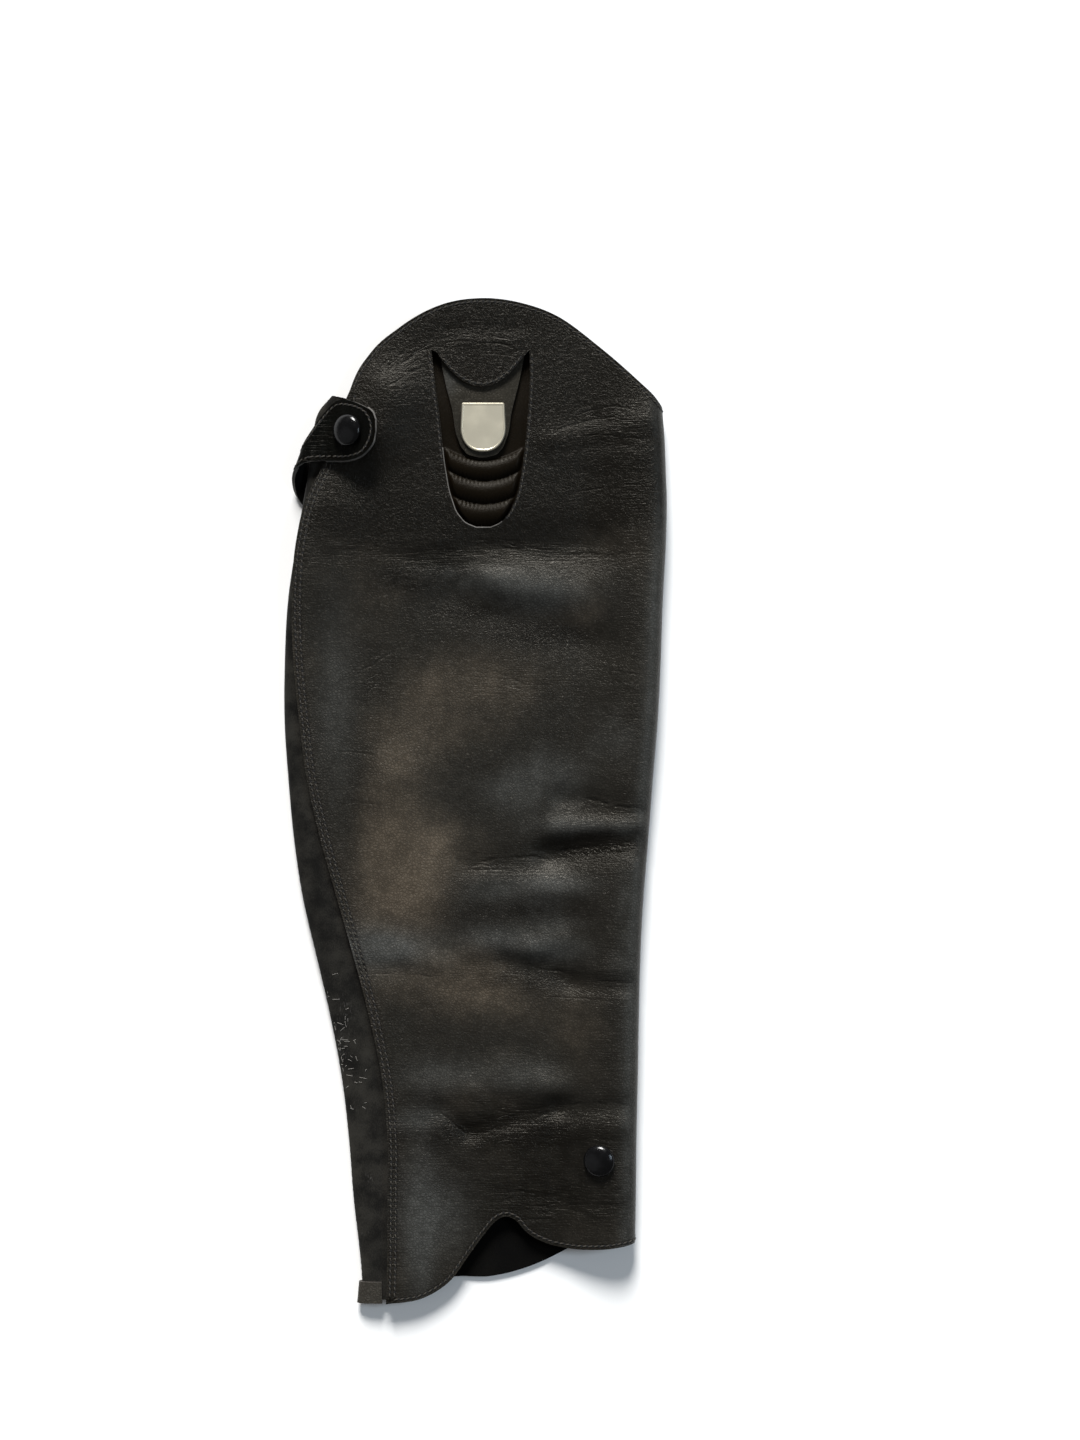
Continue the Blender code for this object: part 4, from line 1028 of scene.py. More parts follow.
@dataclass
class Effects:
    """The node groups that several finishes share, each made once."""

    made: dict[str, bpy.types.ShaderNodeTree] = field(default_factory=dict)

    def group(self, name: str, inputs: dict[str, float], outputs: Sequence[str], make: Maker) -> None:
        """Makes one group.

        Args:
            name: The group's name.
            inputs: Its number inputs and their values; "Place" is a vector.
            outputs: Its number outputs.
            make: Builds the nodes from the inputs and gives a socket for each output.
        """
        tree = bpy.data.node_groups.new(name, "ShaderNodeTree")
        tree.interface.new_socket("Place", in_out="INPUT", socket_type="NodeSocketVector")
        for label, value in inputs.items():
            socket = tree.interface.new_socket(label, in_out="INPUT", socket_type="NodeSocketFloat")
            socket.default_value = value
        for label in outputs:
            tree.interface.new_socket(label, in_out="OUTPUT", socket_type="NodeSocketFloat")
        nodes = Nodes(tree)
        taken = nodes.add("NodeGroupInput").outputs
        leave = nodes.add("NodeGroupOutput")
        for label, socket in make(nodes, taken).items():
            nodes.feed(leave.inputs[label], socket)
        self.made[name] = tree

    def use(self, nodes: Nodes, name: str, **inputs: object) -> Node:
        """Places a group in a material.

        Args:
            nodes: The material's nodes.
            name: The group's name.
            **inputs: A value or socket for each input, with _ for a space.

        Returns:
            The group's node.
        """
        node = nodes.add("ShaderNodeGroup", node_tree=self.made[name])
        for key, value in inputs.items():
            nodes.feed(node.inputs[key.replace("_", " ")], value)
        return node

    def make_all(self) -> None:
        """Makes every group."""
        self.group("Leather grain", {"Cell": 1.1}, ("Height", "Pores"), self.leather_grain)
        self.group("Crease lines", {"Distance": 9.0, "Depth": 0.0}, ("Height",), self.crease_lines)
        self.group("Crinkle", {"Amount": 0.0}, ("Height",), self.crinkle)
        seam = {"Gap": 99.0, "Along": 0.0, "Row": 1.7, "Pitch": 2.8}
        self.group("Seam pull", seam, ("Height", "Line"), self.seam_pull)
        self.group("Suede nap", {"Fibre": 0.35}, ("Height", "Shade"), self.suede_nap)
        self.group("Woven cloth", {"Pitch": 0.8}, ("Height", "Shade"), self.woven_cloth)
        self.group("Rub marks", {"Size": 20.0}, ("Mask",), self.rub_marks)

    @staticmethod
    def leather_grain(nodes: Nodes, taken: Sockets) -> Sockets:
        """Builds fine pebbles with pores between them.

        Args:
            nodes: The group's nodes.
            taken: Its inputs.

        Returns:
            A socket for each output.
        """
        place = nodes.sized(taken["Place"], taken["Cell"])
        slow = {"Vector": place, "Scale": 0.6, "Detail": 1.0}
        wander = nodes.add("ShaderNodeTexNoise", slow).outputs["Color"]
        bent = nodes.add("ShaderNodeVectorMath", {0: wander, 1: place}, operation="ADD").outputs[0]
        large, small = (
            nodes.add("ShaderNodeTexVoronoi", {"Vector": bent, "Scale": scale}, feature="DISTANCE_TO_EDGE")
            for scale in (1.0, 2.6)
        )
        pebble = nodes.between(large.outputs["Distance"], 0.0, 0.32)
        fine = nodes.between(small.outputs["Distance"], 0.0, 0.3)
        height = nodes.plus(nodes.times(pebble, 0.6), nodes.times(fine, 0.4))
        return {"Height": height, "Pores": nodes.minus(1.0, pebble)}

    @staticmethod
    def crease_lines(nodes: Nodes, taken: Sockets) -> Sockets:
        """Builds a valley along each stored crease, with a soft roll beside it.

        Args:
            nodes: The group's nodes.
            taken: Its inputs.

        Returns:
            A socket for each output.
        """
        shake = nodes.minus(nodes.noise(taken["Place"], 260.0, 3.0), 0.5)
        wander = nodes.minus(nodes.noise(taken["Place"], 70.0, 1.0), 0.5)
        off = nodes.plus(taken["Distance"], nodes.times(shake, 1.6))
        off = nodes.plus(off, nodes.times(wander, 7.0))
        valley = nodes.bell(off, 0.0, 0.9)
        roll = nodes.times(nodes.bell(off, 2.4, 1.2), 0.45)
        broken = nodes.between(nodes.noise(taken["Place"], 115.0, 1.0), 0.36, 0.6)
        depth = nodes.times(taken["Depth"], broken)
        return {"Height": nodes.times(nodes.minus(roll, valley), depth)}

    @staticmethod
    def crinkle(nodes: Nodes, taken: Sockets) -> Sockets:
        """Builds many short fine creases that run across the leg.

        Args:
            nodes: The group's nodes.
            taken: Its inputs.

        Returns:
            A socket for each output.
        """
        soft = nodes.noise(nodes.scaled(taken["Place"], 52.0, 560.0, 300.0), 1.0, 1.0)
        ridge = nodes.maths("ABSOLUTE", nodes.minus(soft, 0.5))
        line = nodes.minus(nodes.between(ridge, 0.0, 0.11), 1.0)
        return {"Height": nodes.times(line, taken["Amount"])}

    @staticmethod
    def seam_pull(nodes: Nodes, taken: Sockets) -> Sockets:
        """Builds the sunk line of a row of stitches and the short pulls that cross it, with a mask of the
        line that paints shade along it.

        Args:
            nodes: The group's nodes.
            taken: Its inputs.

        Returns:
            A socket for each output.
        """
        gap, row = taken["Gap"], taken["Row"]
        line = nodes.bell(gap, row, 0.75)
        beat = nodes.maths("DIVIDE", taken["Along"], taken["Pitch"])
        wave = nodes.maths("COSINE", nodes.times(beat, 2 * math.pi))
        hole = nodes.times(nodes.plus(nodes.times(wave, 0.25), 0.75), line)
        off = nodes.maths("ABSOLUTE", nodes.minus(gap, row))
        fade = nodes.maths("EXPONENT", nodes.times(off, -0.28))
        flat = nodes.add("ShaderNodeCombineXYZ", {0: nodes.times(gap, 0.16), 1: beat}).outputs[0]
        ridge = nodes.maths("ABSOLUTE", nodes.minus(nodes.noise(flat, 1.9, 2.0), 0.5))
        pull = nodes.minus(nodes.between(ridge, 0.0, 0.09), 1.0)
        height = nodes.minus(nodes.times(nodes.times(pull, fade), 0.5), hole)
        return {"Height": height, "Line": line}

    @staticmethod
    def suede_nap(nodes: Nodes, taken: Sockets) -> Sockets:
        """Builds a short brushed nap with soft lighter and darker strokes.

        Args:
            nodes: The group's nodes.
            taken: Its inputs.

        Returns:
            A socket for each output.
        """
        place = nodes.sized(taken["Place"], taken["Fibre"])
        fibre = nodes.noise(nodes.scaled(place, 1.0, 0.45, 1.0), 1.0, 4.0)
        stroke = nodes.noise(taken["Place"], 90.0, 3.0)
        shade = nodes.plus(nodes.times(fibre, 0.4), nodes.times(stroke, 0.6))
        return {"Height": fibre, "Shade": nodes.between(shade, 0.36, 0.66)}

    @staticmethod
    def woven_cloth(nodes: Nodes, taken: Sockets) -> Sockets:
        """Builds a plain weave of round threads.

        Args:
            nodes: The group's nodes.
            taken: Its inputs.

        Returns:
            A socket for each output.
        """
        turn = nodes.maths("DIVIDE", 2000.0 * math.pi, taken["Pitch"])
        parts = nodes.add("ShaderNodeSeparateXYZ", {0: taken["Place"]}).outputs
        warp, weft = (nodes.maths("SINE", nodes.times(parts[k], turn)) for k in (0, 1))
        weave = nodes.times(warp, weft)
        return {"Height": nodes.maths("ABSOLUTE", weave), "Shade": nodes.ramp(weave, 0.5, 1.0)}

    @staticmethod
    def rub_marks(nodes: Nodes, taken: Sockets) -> Sockets:
        """Builds soft clouds where the surface has been handled."""
        cloud = nodes.noise(nodes.sized(taken["Place"], taken["Size"]), 1.0, 5.0)
        return {"Mask": nodes.between(cloud, 0.38, 0.66)}


def new_material(name: str) -> tuple[Nodes, Node, Material]:
    """Makes a material with its shader.

    Args:
        name: The material's name.

    Returns:
        Its nodes, its Principled shader and the material.
    """
    material = bpy.data.materials.new(name)
    material.use_nodes = True
    nodes = Nodes(material.node_tree)
    return nodes, material.node_tree.nodes["Principled BSDF"], material


@dataclass(frozen=True)
class LeatherFinish:
    """Black full-grain leather with a worn, slightly waxy face."""

    name: str
    base: Colour = (0.0156, 0.0142, 0.0116, 1.0)
    brown: Colour = (0.105, 0.084, 0.061, 1.0)
    grey: Colour = (0.058, 0.0585, 0.0545, 1.0)
    pore: Colour = (0.0018, 0.0013, 0.0007, 1.0)
    tint: Colour = (1.0, 0.95, 0.84, 1.0)
    roughness: float = 0.37
    polished: float = 0.33
    gloss: float = 0.19
    cell: float = 1.45
    grain_depth: float = 0.118
    crease_depth: float = 0.2
    crinkling: float = 0.42
    seam_depth: float = 0.09
    mottling: float = 1.7
    clouding: float = 0.22
    blackest: float = 0.92
    pore_share: float = 0.4
    line_share: float = 0.9
    seams: tuple[tuple[str, str, float], ...] = ()

    def make(self, effects: Effects) -> Material:
        """Builds the material.

        Args:
            effects: The shared node groups.

        Returns:
            The material.
        """
        nodes, shader, material = new_material(self.name)
        place = nodes.place()
        grain = effects.use(nodes, "Leather grain", Place=place, Cell=self.cell).outputs
        rubbed = effects.use(nodes, "Rub marks", Place=place, Size=26.0).outputs["Mask"]
        fine_rub = effects.use(nodes, "Rub marks", Place=place, Size=5.0).outputs["Mask"]
        drift = nodes.minus(nodes.noise(place, 24.0, 3.0), 0.5)
        tone = nodes.plus(nodes.stored("tone"), nodes.times(drift, self.mottling))
        warm = nodes.times(nodes.between(tone, -0.1, 1.5), nodes.ramp(rubbed, 0.8, 1.0))
        # Greyer tone patches and the painted sheen, which paints highlights, lighten the colour towards the
        # grey colour.
        grey_and_sheen_share = nodes.maths("MAXIMUM", nodes.between(tone, -0.12, -1.1), nodes.stored("sheen"))
        colour = nodes.mix(grey_and_sheen_share, nodes.mix(warm, self.base, self.brown), self.grey)
        cloud = nodes.between(nodes.noise(place, 170.0, 5.0), 0.62, 0.40)
        # Painted shade and darker leather: the stored deep patches, with a random cloud of darker leather,
        # darken the colour towards the pores' colour.
        dark = nodes.plus(nodes.times(nodes.stored("deep"), self.blackest), nodes.times(cloud, self.clouding))
        colour = nodes.mix(nodes.maths("MINIMUM", dark, self.blackest), colour, self.pore)
        colour = nodes.mix(nodes.times(grain["Pores"], self.pore_share), colour, self.pore)
        shine = nodes.plus(nodes.stored("wear"), nodes.times(fine_rub, 0.3))
        nodes.feed(shader.inputs["Roughness"], nodes.ramp(shine, self.roughness, self.polished))
        shader.inputs["Specular IOR Level"].default_value = self.gloss
        shader.inputs["Specular Tint"].default_value = self.tint
        distance, depth = nodes.stored("crease_gap"), nodes.stored("crease_depth")
        lines = effects.use(nodes, "Crease lines", Place=place, Distance=distance, Depth=depth)
        fine = effects.use(nodes, "Crinkle", Place=place, Amount=nodes.stored("crinkle"))
        height = nodes.times(grain["Height"], self.grain_depth)
        for effect, share in ((lines, 1.0), (fine, self.crinkling)):
            height = nodes.plus(height, nodes.times(effect.outputs[0], self.crease_depth * share))
        for gap, along, row in self.seams:
            read = {"Gap": nodes.stored(gap), "Along": nodes.stored(along), "Row": row}
            pull = effects.use(nodes, "Seam pull", Place=place, **read).outputs
            height = nodes.plus(height, nodes.times(pull["Height"], self.seam_depth))
            # Painted shade: the leather is darkened along each stitch row's sunk line.
            colour = nodes.mix(nodes.times(pull["Line"], self.line_share), colour, self.pore)
        nodes.feed(shader.inputs["Base Color"], colour)
        nodes.bump(shader, height, MM)
        return material


@dataclass(frozen=True)
class SuedeFinish:
    """Matte brushed suede, or the rough inner side of leather."""

    name: str
    dark: Colour = (0.0035, 0.0033, 0.0028, 1.0)
    light: Colour = (0.0215, 0.0200, 0.0168, 1.0)
    scuff: Colour = (0.10, 0.095, 0.09, 1.0)
    fibre: float = 0.35
    depth: float = 0.16
    scuffed: float = 0.0
    sheen: float = 0.06
    gloss: float = 0.08

    def make(self, effects: Effects) -> Material:
        """Builds the material.

        Args:
            effects: The shared node groups.

        Returns:
            The material.
        """
        nodes, shader, material = new_material(self.name)
        place = nodes.place()
        nap = effects.use(nodes, "Suede nap", Place=place, Fibre=self.fibre)
        colour = nodes.mix(nap.outputs["Shade"], self.dark, self.light)
        if self.scuffed:
            streak = nodes.noise(nodes.scaled(place, 1500.0, 420.0, 900.0), 1.0, 3.0)
            streak = nodes.times(nodes.between(streak, 0.56, 0.7), nodes.stored("scuff"))
            colour = nodes.mix(nodes.times(streak, self.scuffed), colour, self.scuff)
        nodes.feed(shader.inputs["Base Color"], colour)
        nodes.feed(shader.inputs["Roughness"], nodes.ramp(nap.outputs["Shade"], 0.9, 1.0))
        shader.inputs["Specular IOR Level"].default_value = self.gloss
        shader.inputs["Sheen Weight"].default_value = self.sheen
        nodes.bump(shader, nap.outputs["Height"], self.depth * MM)
        return material


@dataclass(frozen=True)
class EdgeFinish:
    """The bare fibres of a cut edge."""

    name: str
    dark: Colour = (0.012, 0.010, 0.008, 1.0)
    light: Colour = (0.06, 0.05, 0.042, 1.0)
    fibre: float = 0.5
    depth: float = 0.15

    def make(self, effects: Effects) -> Material:
        """Builds the material.

        Args:
            effects: The shared node groups.

        Returns:
            The material.
        """
        nodes, shader, material = new_material(self.name)
        nap = effects.use(nodes, "Suede nap", Place=nodes.place(), Fibre=self.fibre)
        nodes.feed(shader.inputs["Base Color"], nodes.mix(nap.outputs["Shade"], self.dark, self.light))
        nodes.feed(shader.inputs["Roughness"], nodes.ramp(nap.outputs["Height"], 0.7, 0.95))
        nodes.bump(shader, nap.outputs["Height"], self.depth * MM)
        return material


@dataclass(frozen=True)
class ClothFinish:
    """Woven cloth: the zip's tapes or the mesh lining."""

    name: str
    pitch: float = 0.8
    dark: Colour = (0.006, 0.006, 0.0062, 1.0)
    light: Colour = (0.022, 0.022, 0.023, 1.0)
    depth: float = 0.12

    def make(self, effects: Effects) -> Material:
        """Builds the material.

        Args:
            effects: The shared node groups.

        Returns:
            The material.
        """
        nodes, shader, material = new_material(self.name)
        place = nodes.place()
        weave = effects.use(nodes, "Woven cloth", Place=place, Pitch=self.pitch)
        worn = effects.use(nodes, "Rub marks", Place=place, Size=8.0)
        share = nodes.times(weave.outputs["Shade"], nodes.ramp(worn.outputs["Mask"], 0.8, 1.0))
        nodes.feed(shader.inputs["Base Color"], nodes.mix(share, self.dark, self.light))
        nodes.feed(shader.inputs["Roughness"], nodes.ramp(worn.outputs["Mask"], 0.95, 0.82))
        nodes.bump(shader, weave.outputs["Height"], self.depth * MM)
        return material


@dataclass(frozen=True)
class HardFinish:
    """Metal, enamel, nylon or thread: a colour, a gloss and fine handling marks."""

    name: str
    colour: Colour
    worn: Colour
    roughness: float
    rubbed: float
    metallic: float = 0.0
    gloss: float = 0.5
    mark: float = 3.0
    depth: float = 0.01

    def make(self, effects: Effects) -> Material:
        """Builds the material.

        Args:
            effects: The shared node groups.

        Returns:
            The material.
        """
        nodes, shader, material = new_material(self.name)
        place = nodes.place()
        marks = effects.use(nodes, "Rub marks", Place=place, Size=self.mark).outputs["Mask"]
        fine = effects.use(nodes, "Rub marks", Place=place, Size=self.mark / 8).outputs["Mask"]
        both = nodes.times(marks, fine)
        nodes.feed(shader.inputs["Base Color"], nodes.mix(both, self.colour, self.worn))
        nodes.feed(shader.inputs["Roughness"], nodes.ramp(marks, self.roughness, self.rubbed))
        shader.inputs["Metallic"].default_value = self.metallic
        shader.inputs["Specular IOR Level"].default_value = self.gloss
        nodes.bump(shader, fine, self.depth * MM)
        return material


@dataclass
class Finishes:
    """Every material of the half chap."""

    effects: Effects

    def __post_init__(self) -> None:
        """Makes each finish once."""
        calf = (("calf_gap", "calf_along", 1.7), ("calf_gap", "calf_along", 4.0))
        edge = (("edge_gap", "edge_along", 1.7),)
        self.body = LeatherFinish("Black leather", seams=calf + edge).make(self.effects)
        self.strap = LeatherFinish(
            "Strap leather", base=(0.0018, 0.0022, 0.0020, 1.0), brown=(0.0030, 0.0034, 0.0030, 1.0),
            grey=(0.0034, 0.0040, 0.0040, 1.0), roughness=0.36, polished=0.32, gloss=0.05, cell=0.95,
            grain_depth=0.055, crease_depth=0.3, seams=edge
        ).make(self.effects)
        # Painted shade: the pad's colour is made very dark because the pad lies sunk behind the hole, in
        # shade.
        self.padded = LeatherFinish(
            "Padded leather", base=(0.0052, 0.0034, 0.0016, 1.0), brown=(0.0110, 0.0074, 0.0036, 1.0),
            grey=(0.0050, 0.0050, 0.0048, 1.0), roughness=0.44, polished=0.36, gloss=0.07, cell=0.8,
            grain_depth=0.04
        ).make(self.effects)
        self.tongue = LeatherFinish(
            "Tongue leather", base=(0.0235, 0.0213, 0.0166, 1.0), gloss=0.2, grain_depth=0.06
        ).make(self.effects)
        self.tab = LeatherFinish(
            "End tab leather", base=(0.040, 0.036, 0.030, 1.0), brown=(0.07, 0.055, 0.04, 1.0), roughness=0.6,
            polished=0.5
        ).make(self.effects)
        self.suede = SuedeFinish("Charcoal suede", scuffed=0.8).make(self.effects)
        # Painted shade: the inner side is made near black to match the shaded gaps, such as inside the hem,
        # where it shows.
        self.flesh = SuedeFinish(
            "Leather inside", dark=(0.0008, 0.0007, 0.0006, 1.0), light=(0.0028, 0.0025, 0.0021, 1.0),
            fibre=0.5, sheen=0.0
        ).make(self.effects)
        self.raw = EdgeFinish("Cut edge").make(self.effects)
        # Pale cut edge: partly the raw edge's own colour, partly a painted highlight on rims that face the
        # light.
        self.pale_raw = EdgeFinish(
            "Rubbed cut edge", dark=(0.035, 0.032, 0.028, 1.0), light=(0.12, 0.113, 0.103, 1.0)
        ).make(self.effects)
        self.tape = ClothFinish("Zip tape").make(self.effects)
        self.mesh = ClothFinish(
            "Mesh lining", pitch=2.2, dark=(0.006, 0.006, 0.006, 1.0), light=(0.11, 0.11, 0.112, 1.0),
            depth=0.3
        ).make(self.effects)
        self.nylon = HardFinish(
            "Zip nylon", (0.012, 0.012, 0.0125, 1.0), (0.03, 0.03, 0.031, 1.0), 0.38, 0.5
        ).make(self.effects)
        self.metal = HardFinish(
            "Dark metal", (0.10, 0.10, 0.105, 1.0), (0.20, 0.20, 0.205, 1.0), 0.28, 0.4, metallic=1.0
        ).make(self.effects)
        self.enamel = HardFinish(
            "Black enamel", (0.0022, 0.0022, 0.0024, 1.0), (0.005, 0.005, 0.0055, 1.0), 0.13, 0.2, gloss=0.26
        ).make(self.effects)
        self.plate = HardFinish(
            "Pale metal", (0.84, 0.78, 0.62, 1.0), (0.80, 0.74, 0.585, 1.0), 0.42, 0.46, metallic=1.0,
            mark=12.0, depth=0.002
        ).make(self.effects)
        self.thread = HardFinish(
            "Black thread", (0.033, 0.0298, 0.0245, 1.0), (0.072, 0.065, 0.054, 1.0), 0.7, 0.85, gloss=0.2,
            mark=1.5, depth=0.05
        ).make(self.effects)
        self.hole = HardFinish(
            "Needle hole", (0.0012, 0.0011, 0.001, 1.0), (0.003, 0.0028, 0.0025, 1.0), 0.9, 0.95, mark=1.0
        ).make(self.effects)
        self.lint = HardFinish(
            "Pale lint", (0.35, 0.33, 0.30, 1.0), (0.5, 0.48, 0.45, 1.0), 0.9, 0.95, mark=1.0
        ).make(self.effects)
        self.sheet = (self.body, self.flesh, self.raw)


def attach(piece: Piece, slot: Slot, *instead_of: str) -> None:
    """Puts a piece on the half chap's body and hides what it stands for.

    Args:
        piece: The finished piece.
        slot: A material slot name; not used.
        *instead_of: The solids that it stands for.
    """
    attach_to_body(piece, CHAP_BODY)
    if instead_of:
        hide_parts(*instead_of)
    side = sum(face.area for face in piece.data.polygons) / 2
    LOG.info("%s: %d faces, %.5f square metres a side", piece.name, len(piece.data.polygons), side)


# Sewing


@dataclass
class Sewing:
    """Rows of stitches, each a short bowed thread that dips into the leather at both ends."""

    form: LegForm
    finishes: Finishes
    pitch: float = 2.8
    length: float = 2.1
    radius: float = 0.36
    proud: float = 0.2
    slant: float = 0.24
    edge_inset: float = 1.7
    hole_radius: float = 0.66
    hole_proud: float = 0.05
    pressed: float = -0.03
    rings: int = 7
    sides: int = 6

    def stitch(self) -> tuple[Array, Array]:
        """Makes one stitch along X with Z outwards, and the needle's hole after it.

        Returns:
            Its points and its faces as triangles.
        """
        share = np.linspace(-1, 1, self.rings)
        thick = self.radius * np.sqrt(np.clip(1 - share ** 4, 0.04, 1))
        bow = self.proud * (1 - share ** 2) - 0.1
        angles = np.arange(self.sides) / self.sides * 2 * np.pi
        around, up = np.cos(angles), np.sin(angles)
        thread = [
            np.repeat(share * self.length / 2, self.sides).reshape(self.rings, self.sides),
            thick[:, None] * around + share[:, None] * self.slant,
            bow[:, None] + thick[:, None] * up * 0.8,
        ]
        points = [np.stack(thread, axis=-1).reshape(-1, 3), [[self.pitch / 2, 0.0, self.hole_proud]]]
        for share, high in ((0.6, self.hole_proud), (1.0, 0.0), (0.8, -0.4)):
            wide = self.hole_radius * share
            rim = [self.pitch / 2 + wide * around, wide * up, np.full(self.sides, high)]
            points.append(np.stack(rim, axis=-1))
        faces: list[tuple[int, ...]] = []
        for a, b, d, c in ring_faces(self.rings, self.sides):
            faces += [(a, b, d), (a, d, c)]
        last = (self.rings - 1) * self.sides
        for j in range(1, self.sides - 1):
            faces += [(0, j + 1, j), (last, last + j, last + j + 1)]
        middle = self.rings * self.sides
        hole = middle + 1
        faces += [(middle, hole + j, hole + (j + 1) % self.sides) for j in range(self.sides)]
        for a, b, d, c in ring_faces(3, self.sides):
            faces += [(hole + a, hole + c, hole + d), (hole + a, hole + d, hole + b)]
        foot = hole + 2 * self.sides
        faces += [(foot, foot + j + 1, foot + j) for j in range(1, self.sides - 1)]
        return np.vstack(points), np.array(faces)

    def thread_faces(self) -> int:
        """Gives how many of a stitch's triangles are thread, and not needle hole."""
        return 2 * (self.rings - 1) * self.sides + 2 * (self.sides - 2)

    def row(self, name: str, runs: Sequence[Run], pitch: float = 0.0) -> Piece:
        """Sews one piece's rows of stitches as one mesh.

        Args:
            name: The piece's name.
            runs: Paths as points and outward normals.
            pitch: The distance between stitches, or 0 for the usual one.

        Returns:
            The new piece.
        """
        template, faces = self.stitch()
        step = pitch or self.pitch
        template = template * np.array([step / self.pitch, 1, 1])
        reach = step * 0.4
        sewn: list[Array] = []
        for points, normals in runs:
            along = run_along(points)
            stitches = max(int(along[-1] / step), 1)
            at = (np.arange(stitches) + 0.5) * along[-1] / stitches
            middle, up = read_at(at, along, points), read_at(at, along, normals)
            run = unit(read_at(at + reach, along, points) - read_at(at - reach, along, points))
            up = unit(up - run * np.sum(up * run, axis=1, keepdims=True))
            axes = np.stack([run, np.cross(up, run), up], axis=1)
            sewn.append((middle[:, None] + template[None] @ axes).reshape(-1, 3))
        points = np.vstack(sewn)
        points[:, 2] = np.maximum(points[:, 2], self.pressed)
        count = len(points) // len(template)
        offsets = np.arange(count)[:, None, None] * len(template)
        piece = mesh_piece(name, points, (faces[None] + offsets).reshape(-1, 3))
        dress(piece, self.finishes.thread, self.finishes.hole)
        kinds = np.tile(np.arange(len(faces)) >= self.thread_faces(), count).astype(np.int32)
        piece.data.polygons.foreach_set("material_index", kinds)
        attach(piece, Slot.THREAD)
        return piece

    def edge_run(self, top: bool, first: float, last: float) -> Run:
        """Makes a path beside the leather's top edge or hem.

        Args:
            top: Whether it follows the top edge.
            first: The first place round the section.
            last: The last place round the section.

        Returns:
            Points and outward normals.
        """
        s = np.linspace(first, last, 900)
        edge = self.form.cut_edge(s, top)
        slope = np.gradient(edge, run_along(self.form.body(s, edge)[:, [0, 2]]))
        deep = self.edge_inset * np.sqrt(1 + slope ** 2)
        y = edge - deep if top else edge + deep
        return self.form.body(s, y), normals_of(self.form.body, s, y, 0.01)

    def seam_run(self, gap: float, low: float, high: float) -> Run:
        """Makes a path down the calf seam.

        Args:
            gap: How far in from the leather's edge, in mm.
            low: Its lower end.
            high: Its upper end.

        Returns:
            Points and outward normals.
        """
        y = np.linspace(low, high, 500)
        x = self.form.calf_seam(y) + gap
        return self.form.face(x, y), normals_of(self.form.face, x, y, 0.3)

    def under_run(self, aside: float, raised: Curve, low: float, high: float) -> Run:
        """Makes a path beside the zip on the underside.

        Args:
            aside: How far it lies from the zip's teeth, in mm.
            raised: How far the piece lies above the leather's underside.
            low: Its lower end.
            high: Its upper end.

        Returns:
            Points and outward normals.
        """
        y = np.linspace(low, high, 400)
        x = self.form.zip_line(y) + aside
        points = np.stack([x, y, self.form.lift(x, y) + raised(y)], axis=1)
        return points, np.tile([0.0, 0.0, -1.0], (len(y), 1))


# Pieces


